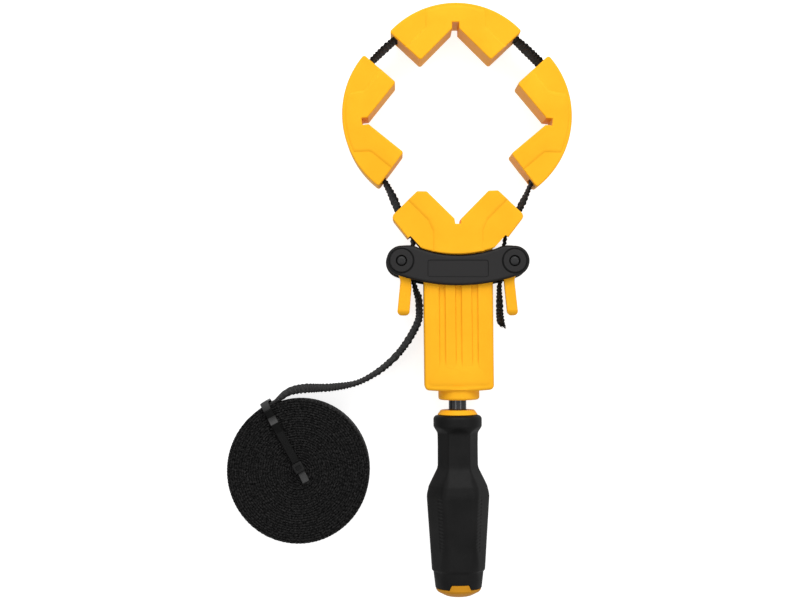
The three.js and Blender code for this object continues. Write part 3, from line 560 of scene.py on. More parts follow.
def layBand(name, route, leans=level, leanOver=None, heightAt=None, heartAt=None):
    stations, whole = evenly(route, band["period"] / band["perPeriod"])
    verts, lengths, last, edge = [], [], len(stations) - 1, band["selvedge"]
    (drift, driftRate), (jitter, jitterRate) = band["drift"], band["jitter"]
    swell, swellVaries, swellRate = band["swell"]
    for i, (here, travelled) in enumerate(stations):
        along = (stations[min(i + 1, last)][0] - stations[max(i - 1, 0)][0]).normalized()
        side = Vector((-along.y, along.x, 0))
        lean = between(leans, travelled / (leanOver or whole))
        across = Vector((0, 0, math.cos(lean))) + side * math.sin(lean)
        normal = side * math.cos(lean) - Vector((0, 0, math.sin(lean)))
        centre = Vector((here.x, here.y, heightAt(travelled) if heightAt else mid))
        wander = drift * noise.noise((travelled * driftRate, 2.0, 5.0))
        wander += jitter * noise.noise((travelled * jitterRate, 6.0, 3.0))
        beat = 2 * math.pi * travelled / band["period"] + wander  # so that neighbouring turns do not line up
        strength = swell + swellVaries * noise.noise((travelled * swellRate, 8.0, 1.0))
        heart = heartAt(travelled) if heartAt else band["thick"] / 2
        slack = (band["thick"] / 2 / heart) ** band["settle"]  # less play where it is wound tight
        wave, sway = math.cos(beat) * strength, math.sin(beat) * strength * slack * band["sway"]
        low = -band["width"] / 2 + band["scallop"] * (1 + wave) / 2
        high = band["width"] / 2 - band["scallop"] * (1 - wave) / 2
        thick = (band["thick"] / 4 + heart / 2) * (1 + band["ripple"] * slack ** band["rippleSettle"] * wave)
        section = (
            (low, -sway), (low + edge, thick), (0, heart), (high - edge, thick),
            (high, sway), (high - edge, -thick), (0, -heart), (low + edge, -thick))
        verts += [centre + across * a + normal * n for a, n in section]
        lengths.append(beat * band["period"] / (2 * math.pi))
    count, quads = len(section), ringFaces(len(stations), len(section))
    lastRow = tuple(range(last * count, last * count + count))
    piece = addPiece(name, verts, [tuple(range(count))[::-1], *quads, lastRow])
    capUv = [(0, 0)] * count
    sideUv = [(band["uAt"][v % count], lengths[v // count] / 10) for quad in quads for v in quad]
    layer = piece.data.uv_layers.new(name="band")
    layer.data.foreach_set("uv", [value for pair in capUv + sideUv + capUv for value in pair])
    return piece, whole * mm


def coilPoint(turn):  # turns from the coil's outer end
    radius = coil["outer"] + (coil["inner"] - coil["outer"]) * turn / coil["turns"]
    angle, (x, y) = math.radians(coil["start"]) + 2 * math.pi * turn, coil["centre"]
    return x + radius * math.cos(angle), y + coil["oval"] * radius * math.sin(angle)


coilMiddle = coil["low"] + band["width"] / 2
tailPath = smoothRoute([*tail["route"], coilPoint(0)])
tailLength = evenly(tailPath, 1.0)[1]


def tailHeight(travelled):  # from the cam down to the bench, then up to the coil's height
    share, lowest = travelled / tailLength, tail["lowFrom"]
    rest = tail["low"] + band["width"] / 2
    if share < lowest:
        return mid + (rest - mid) * ease(share / lowest)
    settled = rest + (coilMiddle - rest) * ease((share - lowest) / (1 - lowest))
    size, rate = tail["unevenness"]
    return settled + size * ease(share - 1) * noise.noise((travelled * rate, 3.0, 1.0))


def tailHeart(travelled):  # wound tight, the turns touch at half their width
    slack = band["thick"] / 2
    return slack + (band["wound"] - slack) * ease((travelled - tailLength) / tail["tightens"] + 1)


coilSteps = round((coil["turns"] + coil["curl"]) * coil["perTurn"])
coilPath = [coilPoint(k / coil["perTurn"]) for k in range(1, coilSteps + 1)]
longTail, longLength = layBand(
    "bandTailAndCoil", tailPath + coilPath, tail["leans"], tailLength, tailHeight, tailHeart)
dressBand(longTail, "yoke", "band_tail_left", "band_coil")
shortTail, shortLength = layBand("bandShortTail", smoothRoute(short["route"]), short["leans"])
dressBand(shortTail, "yoke", "band_tail_right")

fray = {
    "threads": 40, "inset": 1.2, "root": 0.8, "long": (1.0, 3.6), "thick": 0.36, "taper": 0.6, "spread": 0.55,
    "tip": 0.5, "turnBack": 1.4, "gather": 0.12, "seed": 7}


def frayedEnd(name):  # loose yarns at the cut end of the short tail
    dice, verts, faces = random.Random(fray["seed"]), [], []
    lean, (endX, endY) = short["leans"][-1][1], short["route"][-1]
    for k in range(fray["threads"]):
        a = (k / (fray["threads"] - 1) - 0.5) * (band["width"] - fray["inset"])
        here = Vector((endX + a * math.sin(lean), endY + fray["root"], mid + a * math.cos(lean)))
        here.x += dice.uniform(-0.25, 0.25)
        way = Vector((dice.uniform(-1, 1) * fray["spread"], -1, dice.uniform(-0.4, 0.4)))
        bendX = fray["tip"] - way.x * fray["turnBack"] - fray["gather"] * (here.x - endX)
        bend = Vector((bendX, 0, dice.uniform(-0.3, 0.3)))
        long, thick = dice.uniform(*fray["long"]) + fray["root"], fray["thick"] * dice.uniform(0.7, 1.1)
        first = len(verts)
        for t in (0, 0.25, 0.5, 0.75, 1):
            at, half = here + (way * t + bend * t * t) * long, thick * (1 - fray["taper"] * t)
            verts += [at + Vector((x, 0, z)) * half for x, z in ((1, 0), (0, 1), (-1, 0), (0, -1))]
        root, tip = tuple(range(first, first + 4)), tuple(range(first + 16, first + 20))
        faces += [root, tip[::-1], *ringFaces(5, 4, first)]
    return outward(addPiece(name, verts, faces))


frayed = frayedEnd("bandFray")
frayed.data.uv_layers.new(name="band")
dressBand(frayed, "yoke", "band_tail_right")
print("tails laid:", round(longLength, 3), "m and", round(shortLength, 3), "m")


# cable tie round the coil

tie = {
    "angle": 118.3, "aside": -1.3, "over": 0.3, "width": 5.0, "thick": 1.2, "edge": 0.3, "inner": 2.3,
    "outer": 47.2, "low": 0.2, "bend": 1.6, "head": 3.2, "headOut": 2.2, "headHigh": 4.2, "headRound": 0.9,
    "window": (1.4, 1.7, 3.1), "windowRound": 0.4, "stub": [(2.2, 1.6), (-2.0, 1.9), (-7.6, 4.4)],
    "stubThin": 0.6,
    "humps": [  # place, height over the strap's own level, bend
        (46.6, -1.4, 0.9), (41.4, 1.3, 1.0), (37.0, 0.35, 1.0), (32.6, 2.3, 0.8), (27.0, 0.4, 5.0),
        (5.7, 0.2, 0)],
    "twists": [(-9, 0), (0, 0), (6, 4), (31, 4), (32, -4), (35.5, -4), (36.5, 4), (46, 0)],
    "paintedHighlight": [  # place and painted highlight: paler where glints fall on the bends and the stub
        (-20, 0.68), (-1.4, 0.68), (-1.2, 0.15), (5.5, 0.15), (5.6, 0), (32.3, 0), (32.7, 1), (36.5, 0.8),
        (37.2, 0), (41.8, 0), (42.4, 0.9), (50, 0.7)]}
tieFrame = placed(*coil["centre"], tie["angle"]) @ Matrix.Translation((0, tie["aside"] * mm, 0))
topZ = coil["low"] + band["width"] + tie["over"]


def sweptStrap(name, path, width):  # path of (u, z)
    w, t, edge = width / 2, tie["thick"] / 2, tie["edge"]
    loop = [
        (-w, edge - t), (edge - w, -t), (w - edge, -t), (w, edge - t),
        (w, t - edge), (w - edge, t), (edge - w, t), (-w, t - edge)]
    points, rings = [Vector(p) for p in path], []
    for i, here in enumerate(points):
        along = (points[min(i + 1, len(points) - 1)] - points[max(i - 1, 0)]).normalized()
        lean = math.radians(between(tie["twists"], here.x)) if along.x < 0 else 0.0
        c, s = math.cos(lean), math.sin(lean)
        turned = [(a * c - n * s, a * s + n * c) for a, n in loop]
        rings.append([(here.x - along.y * n, a, here.y + along.x * n) for a, n in turned])
    return stackRings(name, rings)


reach, inside = tie["outer"] - tie["thick"] / 2, tie["inner"] - tie["thick"] / 2
under, over = tie["low"] + tie["thick"] / 2, topZ + tie["thick"] / 2
headEnds = (tie["headOut"] - tie["head"], tie["headOut"] + tie["head"])
strapPath = roundedPath([
    (inside, topZ - 1.0), (inside, under, tie["bend"]), (reach, under, tie["bend"]),
    *[(u, over + up, bend) for u, up, bend in tie["humps"]]], 8, closed=False)
tieStrap = sweptStrap("tieStrap", strapPath, tie["width"])
headOutline = roundedBox(headEnds, (-tie["head"], tie["head"]), tie["headRound"])
tieHead = mouldedPrism("tieHead", headOutline, topZ, topZ + tie["headHigh"], 0.3, 0.7, brace=0.1)
stubPath = [(u, topZ + up) for u, up in tie["stub"]]
windowX, windowY, windowLow = tie["window"]
windowEnds = (tie["headOut"] - windowX, tie["headOut"] + windowX)
windowOutline = roundedBox(windowEnds, (-windowY, windowY), tie["windowRound"])
window = mouldedPrism("tieWindow", windowOutline, topZ + windowLow, topZ + 5)
combine(tieHead, [sweptStrap("tieStub", stubPath, tie["width"] - tie["stubThin"])], "UNION")
combine(tieHead, [window], "DIFFERENCE")
for piece, node in ((tieStrap, "tie_strap"), (tieHead, "tie_head")):
    # painted highlight: paler along the strap and the head as the table gives, on the upper half only
    paintedLightMarks = piece.data.attributes.new("paintedLight", "FLOAT", "POINT")
    spots = [v.co / mm for v in piece.data.vertices]
    paintedLightMarks.data.foreach_set("value", [between(tie["paintedHighlight"], p.x) * (p.z > mid) for p in spots])
    piece.data.transform(tieFrame)
    dress(piece, "tieNylon", "yoke", [node])
print("tie closed")


# free jaws: raised middle with two stepped legs, on an arched band passage

jaw = {  # backShort and slotOn are degrees
    "tip": 21.25, "tipRound": 1.5, "end": (40.1, -3.9), "endRound": 1.6, "back": 13.6, "backShort": 3.0,
    "reliefHalf": 2.05, "reliefTop": 1.75, "exit": (35.9, -7.06), "edge": 0.9, "raisedEdge": 0.8,
    "within": 0.03, "step": 0.75, "ramp": 1.6, "over": 0.3, "backStep": 3.0, "stepTop": 16.6, "waist": 17.3,
    "waistRound": 5.0, "fall": 15.5, "slot": 3.0, "slotWide": 26.6, "slotOn": 10}
jawPlaces = {  # piece, then x, y and degrees
    "top_jaw": ("jawTop", (-0.3, 180.7 - jaw["back"], 0)), "left_jaw": ("jawLeft", (-55.5, 109.3, 96)),
    "right_jaw": ("jawRight", (56.0, 108.2, -95.4))}
jawRise = jaw["back"] - jaw["end"][1]
backRadius = (jaw["end"][0] ** 2 + jawRise ** 2) / (2 * jawRise)
arcY = jaw["back"] - backRadius
passRadius = math.hypot(jaw["exit"][0], jaw["exit"][1] - arcY)
passHalf = math.degrees(math.atan2(jaw["exit"][0], jaw["exit"][1] - arcY))
slotZ = (mid - jaw["slotWide"] / 2, mid + jaw["slotWide"] / 2)


def jawOutline():
    corner = math.degrees(math.atan2(jaw["end"][1] - arcY, jaw["end"][0]))
    back = arcPoints((0, arcY), backRadius, 90, corner + jaw["backShort"], 24)
    tip, relief = jaw["tip"], jaw["reliefHalf"]
    foot = [(tip, -tip, jaw["tipRound"]), (relief, -relief), (relief, jaw["reliefTop"])]
    return mirrorHalf(roundedPath([*back, (*jaw["end"], jaw["endRound"]), *foot], closed=False))


def jawPlateau():
    radius, waist, fall = backRadius - jaw["backStep"], jaw["waist"], jaw["fall"]
    back = arcPoints((0, arcY), radius, 90, math.degrees(math.acos(jaw["stepTop"] / radius)), 14)
    beyond = jaw["end"][0]  # past the leg's end face
    leg = [(waist, fall - waist, jaw["waistRound"]), (beyond, fall - beyond), (beyond, -beyond), (0, -beyond)]
    return mirrorHalf(roundedPath(back + leg, closed=False))


def bandArc(reachOn=0.0):
    return arcPoints((0, arcY), passRadius, 90 - passHalf - reachOn, 90 + passHalf + reachOn, 60)


def steppedBlock(name, outline, plateau):  # the legs, and the middle that stands a step higher on both faces
    step, edge, raisedEdge = jaw["step"], jaw["edge"], jaw["raisedEdge"]
    piece = mouldedPrism(name, insetOutline(outline, jaw["within"]), step, depth - step, edge, edge)
    raised = mouldedPrism(name + "Raised", outline, 0, depth, raisedEdge, raisedEdge)
    slope = slopedBlock(name + "Slope", plateau, 0, depth, step, jaw["ramp"], jaw["over"])
    return piece, combine(raised, [slope], "INTERSECT")


def freeJaw():
    piece, raised = steppedBlock("jawPattern", jawOutline(), jawPlateau())
    combine(piece, [raised], "UNION")
    centreLine, half = [Vector(p) for p in bandArc(jaw["slotOn"])], jaw["slot"] / 2
    outer, inner = [
        [tuple(p + (p - Vector((0, arcY))).normalized() * out) for p in centreLine] for out in (half, -half)]
    return combine(piece, [mouldedPrism("jawPassage", outer + inner[::-1], *slotZ)], "DIFFERENCE")


jawPattern = freeJaw()
for node, (name, place) in jawPlaces.items():
    piece = copyPiece(jawPattern, name)
    piece.data.transform(placed(*place))
    dress(piece, "yellowPlastic", node, [node])
bpy.data.objects.remove(jawPattern)
print("jaws moulded")


# body shells with the lower jaw, flutes and neck

body = {
    "half": 21.05, "low": 4.5, "high": 32.5, "foot": -54.7, "bulge": 1.0, "soleX": (-14, -7, 0, 7, 14),
    "top": 44.0, "corner": 2.9, "edge": 1.9, "panelHalf": 17.6, "panelY": (-49.6, 41.0), "panelRound": 2.4,
    "panelRise": 0.5, "panelRamp": 2.2, "joint": 0.15, "flutes": (-9.9, 0.0, 9.9), "fluteHalf": 2.1,
    "fluteDeep": 1.2, "fluteY": (-41.0, 27.0), "fluteFade": 4.5, "channel": 9.6, "channelY": (-38.0, 36.0),
    "sideSlot": 4.5, "sideSlotY": (-13.5, 24.0),
    "neck": [(0, -60.2), (12.6, -60.2, 1.6), (12.6, -54.3, 0.8), (14.2, -53.7), (14.2, -51.7), (0, -51.7)],
    "bore": [
        (0, -62), (7.6, -62), (7.6, -48.5), (9.1, -48.5), (9.1, -41.6), (6.2, -41.6), (6.2, 41.6), (0, 41.6)],
    "sits": (0.35, 60.0, 0.25)}  # aside, pivot on the centre line, degrees
lower = {  # corners are x, y and rounding
    "relief": (1.6, 47.0, 0.4), "reliefTop": 2.1, "vCorner": 48.1,
    "leg": [(18.7, 66.8, 1.3), (24.5, 66.9, 1.3), (39.0, 53.0, 1.6), (39.6, 51.2, 1.2), (39.0, 49.5, 1.4),
            (28.9, 36.55, 1.3)],
    "notch": [(28.7, 39.9), (31.9, 37.6), (31.9, 29.0), (19.3, 29.3)],
    "stepBend": (17.0, 50.0, 4.0), "stepFoot": (14.0, 43.0, 4.0), "slot": 4.4, "slotOn": 4,
    "overYoke": 0.5}
bandEnds = {
    "Left": {"entry": (-36.0, 54.9), "exit": (-27.6, 39.9), "bend": (-26.7, 35.2), "lean": 0.06},
    "Right": {"entry": (37.6, 54.8), "exit": (29.9, 39.9), "bend": (29.4, 35.2), "lean": 0.0}}
yoke = {
    "pivot": (34.25, 24.72), "end": 9.1, "sits": (0.35, 20.0, -0.4), "topY": 28.3, "topRadius": 68.5,
    "bottomY": 9.7, "bottomRadius": 108.0, "shoulder": (27.4, 33.85), "plate": 4.2, "face": 0.7, "edge": 1.9,
    "rearOver": 0.6, "boss": 7.05, "groove": (7.0, 7.85, 1.0), "pinHole": 3.3, "frontRecess": (3.5, 1.2),
    "rearRecess": (4.7, 2.3), "paintedLightFrom": 0.8, "paintedLightOver": 0.19, "paintedLightDeep": 0.6, "panelX": 18.4,
    "panelY": (14.8, 25.2), "panelRound": 1.4, "panelDeep": 0.45, "panelFlare": 0.3, "screw": (24.0, 27.5),
    "screwSeat": (2.7, 2.5), "screwBore": 1.5}
screws = {
    "spot": (15.0, (-41.0, 41.0)), "low": 0.5, "play": 0.3, "seat": 3.3, "sunk": 0.3,
    "body": {"Head": 3.2, "Head High": 2.5, "Shank": 1.75, "Shank Long": 19.0},
    "yoke": {"Head": 2.4, "Head High": 1.7, "Shank": 1.2, "Shank Long": 9.8}}


def yokeTop(x):
    return yoke["topY"] + x * x / (2 * yoke["topRadius"])


def yokeBottom(x):
    return yoke["bottomY"] + x * x / (2 * yoke["bottomRadius"])


def lowerJawOutline():
    foot = [(x, yokeTop(x) + lower["overYoke"]) for x in range(22, -1, -2)]
    relief, top = lower["relief"], lower["reliefTop"]
    leg = [(0, relief[1]), relief, (top, lower["vCorner"] + top), *lower["leg"]]
    return mirrorHalf(roundedPath(leg + foot, closed=False))


def lowerPlateau():
    bend, foot, beyond = lower["stepBend"], lower["stepFoot"], lower["leg"][0][0]
    past = bend[1] + beyond  # clear of the jaw's tips
    corners = [(0, past), (bend[0] + beyond, past), bend, foot, (foot[0], beyond), (0, beyond)]
    return mirrorHalf(roundedPath(corners, closed=False))


def capsule(x, half, low, high):
    return arcPoints((x, high - half), half, 0, 180, 12) + arcPoints((x, low + half), half, 180, 360, 12)


def fluteCut(x, floorZ, faceZ):  # fades out towards the foot
    over, half, (low, high) = (0.7 if faceZ > floorZ else -0.7), body["fluteHalf"], body["fluteY"]
    rows = ((0.75 * half, body["fluteFade"], floorZ), (half, 0, faceZ), (1.25 * half, -3.0, faceZ + over))
    rings = [[(*p, z) for p in capsule(x, wide, low + fade, high)] for wide, fade, z in rows]
    return stackRings("bodyFlute", rings)


def wholeBody():
    piece, raised = steppedBlock("bodyFront", lowerJawOutline(), lowerPlateau())
    half, foot, top, corner = body["half"], body["foot"], body["top"], body["corner"]
    heel, sole = foot + body["bulge"], [(x, foot + body["bulge"] * (x / half) ** 2) for x in body["soleX"]]
    block = roundedPath([(-half, heel, corner), *sole, (half, heel, corner), (half, top), (-half, top)], 10)
    wide, (low, high), turn = body["panelHalf"], body["panelY"], body["panelRound"]
    panel = roundedPath([(-wide, low, turn), (wide, low, turn), (wide, high), (-wide, high)], 8)
    back, face, rise, edge = body["low"], body["high"], body["panelRise"], body["edge"]
    combine(piece, [
        raised,
        mouldedPrism("bodyBlock", block, back + rise, face - rise, edge, edge, steps=6),
        slopedBlock("bodyPanel", panel, back, face, rise, body["panelRamp"]),
        turnedPiece("bodyNeck", roundedPath(body["neck"], 8, closed=False))], "UNION")
    notches = [[onSide(p, side) for p in lower["notch"]] for side in (1, -1)]
    cuts = [mouldedPrism("bodyNotch", notch, -1, depth + 1) for notch in notches]
    for ends in bandEnds.values():
        start, end = Vector(ends["entry"]), Vector(ends["exit"])
        along = (end - start).normalized()
        aside = Vector((-along.y, along.x)) * lower["slot"] / 2
        start, end = start - along * lower["slotOn"], end + along * lower["slotOn"]
        passage = [start + aside, end + aside, end - aside, start - aside]
        cuts.append(mouldedPrism("bodyPassage", [tuple(p) for p in passage], *slotZ))
    channel, slot = body["channel"], body["sideSlot"]
    inside = boxOutline((-channel, channel), body["channelY"])
    through = boxOutline((-half - 2, half + 2), body["sideSlotY"])
    cuts.append(mouldedPrism("bodyChannel", inside, mid - channel, mid + channel))
    cuts.append(mouldedPrism("bodySideSlot", through, mid - slot, mid + slot))
    cuts.append(turnedPiece("bodyBore", body["bore"], 48))
    for x in body["flutes"]:
        cuts.append(fluteCut(x, face - body["fluteDeep"], face))
        cuts.append(fluteCut(x, back + body["fluteDeep"], back))
    return combine(piece, cuts, "DIFFERENCE")


screwX, screwRows = screws["spot"]
screwSpots = [(side * screwX, y, 0.0 if y > 0 else body["low"]) for y in screwRows for side in (-1, 1)]
everywhere = boxOutline((-100, 100), (-100, 100))
bodyFront = wholeBody()
bodyRear = copyPiece(bodyFront, "bodyRear")
combine(bodyFront, [mouldedPrism("frontHalf", everywhere, mid + body["joint"], depth + 1)], "INTERSECT")
combine(bodyRear, [mouldedPrism("rearHalf", everywhere, -1, mid - body["joint"])], "INTERSECT")
headRoom, shankRoom = [screws["body"][label] + screws["play"] for label in ("Head", "Shank")]
for x, y, back in screwSpots:
    combine(bodyRear, [disc("screwSeat", (x, y), headRoom, back - 1, back + screws["seat"]),
                       disc("screwBore", (x, y), shankRoom, back, mid, sides=24)], "DIFFERENCE")
bodySeat = seat(*body["sits"])
for piece, node in ((bodyFront, "body_front_shell"), (bodyRear, "body_rear_shell")):
    piece.data.transform(bodySeat)
    dress(piece, "yellowPlastic", "clamp_body", [node])
print("body moulded")


# band loop: an arc on each jaw, spans that shorten as the jaws close, and the runs down to the cams

inSlot = 2.5  # a span's ends reach this far into the slots
spans = {  # out of the straight at the jaw, at the middle and at the far end, and leans along it
    "UpperLeft": {"off": (0.6, 0.3, 1.0), "lean": [(0, 0.03), (0.5, 0.056), (1, 0.04)]},
    "UpperRight": {"off": (-0.5, -0.2, -1.0), "lean": [(0, -0.08), (0.5, -0.073), (1, -0.025)]},
    "LowerLeft": {
        "off": (0.4, 0.5, 0.7), "lean": [(0, 0.04), (0.3, 0.1), (0.6, 0.15), (0.85, 0.14), (1, 0.115)]},
    "LowerRight": {"off": (0.7, 0.2, 0.2), "lean": [(0, 0.02), (0.3, 0.036), (0.65, 0.094), (1, 0.09)]}}


def onJaw(node, x, y):
    return Vector((placed(*jawPlaces[node][1]) @ (Vector((x, y, 0)) * mm) / mm)[:2])


def jawExit(node, side):
    return onJaw(node, *onSide(jaw["exit"], side))


def layRun(name, knots, leans=level, steps=8):
    route = []
    for a, b in zip(knots, knots[1:]):
        route += [tuple(Vector(a).lerp(Vector(b), k / steps)) for k in range(steps)]
    return layBand(name, route + [tuple(knots[-1])], leans)[0]


for node, (name, _) in jawPlaces.items():
    piece, _ = layBand("bandIn" + name[0].upper() + name[1:], [onJaw(node, x, y) for x, y in bandArc()])
    dressBand(piece, node)
for label, node, side in (("Left", "left_jaw", -1), ("Right", "right_jaw", 1)):
    ends = bandEnds[label]
    entry, exitPoint, tilt = Vector(ends["entry"]), Vector(ends["exit"]), ends["lean"]
    upper = ("Upper", jawExit(node, -side), jawExit("top_jaw", side))
    for part, near, far in (upper, ("Lower", jawExit(node, side), entry)):
        along, run = (far - near).normalized(), spans[part + label]
        atJaw, atMiddle, atEnd = run["off"]
        shares = (0, 0.2, 0.4, 0.6, 0.8, 1)
        off = [atJaw + (atEnd - atJaw) * t + atMiddle * 4 * t * (1 - t) for t in shares]
        bow = [near.lerp(far, t) + Vector((-along.y, along.x)) * aside for t, aside in zip(shares, off)]
        knots = [bow[0] - along * inSlot, *bow, bow[-1] + along * inSlot]
        piece = layRun(f"bandSpan{part}{label}", smoothRoute(knots, 6), run["lean"], 1)
        dressBand(piece, None)
        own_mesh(piece)
        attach(piece, node)
    dressBand(layRun(f"bandInBody{label}", [entry, exitPoint]), "clamp_body")
    camTop = Vector((side * band["x"], yoke["pivot"][1] + band["overCam"]))
    leans = [(0, 0), (0.4, tilt), (0.7, tilt), (1, 0)]
    piece = layRun(f"bandToCam{label}", [exitPoint, ends["bend"], camTop], leans)
    dressBand(piece, None)
    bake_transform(piece)
    camFoot = (side * band["x"], band["tailTop"] + band["lap"])
    dressBand(layRun(f"bandAtCam{label}", [camTop, camFoot]), "yoke")
print("band threaded")


# yoke plates, pins and cam levers

def yokeOutline(front):  # the rear plate is a little larger, mostly downwards
    top = [(x, yokeTop(x)) for x in range(0, 24)]
    end = arcPoints(yoke["pivot"], yoke["end"], 90, -70, 28)
    bottom = [(x, yokeBottom(x)) for x in range(31, -1, -1)]
    shoulder = smoothRoute([top[-2], top[-1], yoke["shoulder"], end[0], end[2]], 4)
    joined = [p for p in shoulder if top[-1][0] < p[0] < end[0][0]]
    outline = mirrorHalf(top + joined + end + bottom)
    over = 0 if front else yoke["rearOver"]
    return [(x, y - over) for x, y in insetOutline(outline, -over)]


def yokePlate(name, front):
    plate, high, above = yoke["plate"], yoke["plate"] - yoke["face"], 6
    piece = mouldedPrism(name, yokeOutline(front), 0, high, 0.3, yoke["edge"], steps=6)
    pivots = [onSide(yoke["pivot"], side) for side in (-1, 1)]
    ringIn, ringOut, ringDeep = yoke["groove"]
    for p in pivots:
        groove = disc("yokeGroove", p, ringOut, high - ringDeep, above, sides=72)
        combine(groove, [disc("yokeGrooveIn", p, ringIn, 0, above + 1, sides=72)], "DIFFERENCE")
        combine(piece, [groove], "DIFFERENCE")
    combine(piece, [disc("yokeBoss", p, yoke["boss"], 1, plate, 0, 0.5, 72) for p in pivots], "UNION")
    recess, recessDeep = yoke["frontRecess"] if front else yoke["rearRecess"]
    cuts = []
    for p in pivots:
        cuts.append(disc("pinHole", p, yoke["pinHole"], -1, above))
        cuts.append(disc("pinRecess", p, recess, plate - recessDeep, above))
    if front:  # a shallow panel, wider towards the face
        panel = roundedBox((-yoke["panelX"], yoke["panelX"]), yoke["panelY"], yoke["panelRound"])
        floor, flare = high - yoke["panelDeep"], yoke["panelFlare"]
        levels = [(flare, floor), (0.25 * flare, floor + 0.2), (0, high), (-flare, high + 0.7)]
        cuts.append(stackLevels("yokePanel", panel, levels))
    else:
        seatRadius, seatDeep = yoke["screwSeat"]
        for spot in (onSide(yoke["screw"], side) for side in (-1, 1)):
            cuts.append(disc("yokeScrewSeat", spot, seatRadius, plate - seatDeep, above, sides=32))
            cuts.append(disc("yokeScrewBore", spot, yoke["screwBore"], -1, 3, sides=24))
    combine(piece, cuts, "DIFFERENCE")
    paintedLightMarks = piece.data.attributes.new("paintedLight", "FLOAT", "FACE")  # painted shade: the rounded edges, the rings and the recesses stay dark, the flat outer face paler
    flat = [ease((p.normal.z - yoke["paintedLightFrom"]) / yoke["paintedLightOver"]) for p in piece.data.polygons]
    outside = [p.center.z / mm > high - yoke["paintedLightDeep"] for p in piece.data.polygons]
    paintedLightMarks.data.foreach_set("value", [share * outer for share, outer in zip(flat, outside)])
    turn = Matrix.Translation((0, 0, (depth - plate) * mm))
    if not front:
        turn = Matrix.Translation((0, 0, plate * mm)) @ Matrix.Rotation(math.pi, 4, "Y")
    piece.data.transform(turn)
    return piece


yokeSeat = seat(*yoke["sits"])  # it hangs a little askew
for name, front, node in (("yokeFront", True, "yoke_front_plate"), ("yokeRear", False, "yoke_rear_plate")):
    piece = yokePlate(name, front)
    piece.data.transform(yokeSeat)
    dress(piece, "yokeBlack", "yoke", [node])

pin = {
    "radius": 2.95, "low": 0.6, "high": 36.3, "dome": 0.8, "domeAt": (0, 15, 30, 45, 60, 72, 82), "head": 4.4,
    "headZ": (0.4, 2.0)}
lever = {
    "axis": (34.4, 24.9), "hub": 5.9, "bore": 3.9, "z": (5.1, 31.9), "edge": 0.9, "hubEdge": 0.6, "tip": 4.4,
    "tipX": (20, 45), "draft": {"left": 0.0, "right": 1.4},
    "left": [(28.3, 23.5), (28.2, 14.0, 3.0), (27.8, 9.0, 9.0), (29.3, -8.4, 2.6), (36.8, -8.4, 2.6),
             (34.6, 13.0, 6.0), (37.4, 21.5)],
    "right": [(28.4, 23.5), (28.1, 13.0, 6.0), (30.2, -8.7, 2.6), (36.9, -8.7, 2.6), (34.6, 13.0, 6.0),
              (37.6, 21.5)]}


def makePin(name, spot):
    radius, bow = pin["radius"], [math.radians(a) for a in pin["domeAt"]]
    dome = [(radius * math.cos(a), pin["high"] - pin["dome"] * (1 - math.sin(a))) for a in bow]
    rows = [(radius, pin["low"]), *dome]
    piece = stackRings(name, [[(*p, z) for p in circle(spot, r)] for r, z in rows])
    return combine(piece, [disc("pinHead", spot, pin["head"], *pin["headZ"], 0.4, 0.2)], "UNION")


def makeLever(label, side):
    spot, (backZ, faceZ), bend, edge = onSide(lever["axis"], side), lever["z"], lever["tip"], lever["edge"]
    arm = [onSide(p, side) for p in roundedPath(lever[label], 8)]
    piece = mouldedPrism(label + "Cam", arm, backZ, faceZ, edge, edge, steps=5)
    for v in piece.data.vertices:  # mould draft, the back set outwards
        v.co.x += side * lever["draft"][label] * mm * (faceZ - v.co.z / mm) / (faceZ - backZ)
    hubEdge = lever["hubEdge"]
    combine(piece, [disc("camHub", spot, lever["hub"], backZ, faceZ, hubEdge, hubEdge, 64)], "UNION")
    tipY = min(p[1] for p in lever[label])
    quarter = [math.pi / 2 * k / 8 for k in range(9)]
    curve = [(tipY + bend * (1 - math.sin(a)), bend * (1 - math.cos(a))) for a in quarter]
    corner = [(tipY - 1, -1), (tipY + bend, -1), *curve, (tipY - 1, bend)]
    cuts = [disc("camBore", spot, lever["bore"], 0, depth)]
    for face, way in ((faceZ, -1), (backZ, 1)):
        ends = [[(side * x, y, face + way * z) for y, z in corner] for x in lever["tipX"]]
        cuts.append(stackRings("camTip", ends))
    return combine(piece, cuts, "DIFFERENCE")


for label, side in (("left", -1), ("right", 1)):
    piece = makePin(label + "Pin", onSide(yoke["pivot"], side))
    piece.data.transform(yokeSeat)
    dress(piece, "blackOxide", "yoke", ["pivot_pin_" + label])
    dress(makeLever(label, side), "yellowPlastic", label + "_lever", [label + "_lever"])
print("yoke and cams made")


# lead screw and handle

screw = {
    "shaft": 5.4, "root": 3.7, "ridgeAt": 3.8, "ridge": 0.7, "pitch": 3.0, "threadY": (-44.0, 34.0),
    "threadGap": 1, "flange": 8.0, "flangeY": (-47.0, -44.0), "end": -111.0, "journal": 3.0, "journalY": 41.0}
grip = {
    "top": -69.7, "end": -175.4, "bore": 9.3, "boreIn": 30, "sides": 180, "ring": 0.42, "turn": 3.2,
    "profile": [
        (14.85, -69.7, 2.4), (14.85, -76.6, 2.4), (12.6, -80.2, 3.0), (12.45, -88.0, 30.0),
        (12.5, -101.5, 9.0), (18.0, -112.9, 6.0), (19.35, -118.6, 14.0), (16.35, -164.2, 0.5),
        (15.35, -165.4, 0.7), (14.2, -175.4, 0.5)],
    "flats": [
        (-172, 1.0), (-163, 0.96), (-148, 0.915), (-120, 0.91), (-112, 0.92), (-101, 0.88), (-81.5, 0.875),
        (-76, 1.0)],
    "shapedOver": 12, "crisp": 5.0, "tickPitch": 2.2, "tickDeep": 0.3, "tickY": (-153.0, -118.0),
    "tickAt": 42.0, "tickHalf": 7.0}
cap = {
    "dome": [(0, -180.75), (7.2, -180.6, 9.0), (13.0, -177.6, 2.2)], "radius": 14.1, "gap": 0.3,
    "spigot": 9.0, "spigotEnd": -166.2, "skin": (14.35, -171.4), "tabFoot": 6.4, "tabTop": 5.2, "tabHigh": 2.9,
    "tabLow": 11.1}
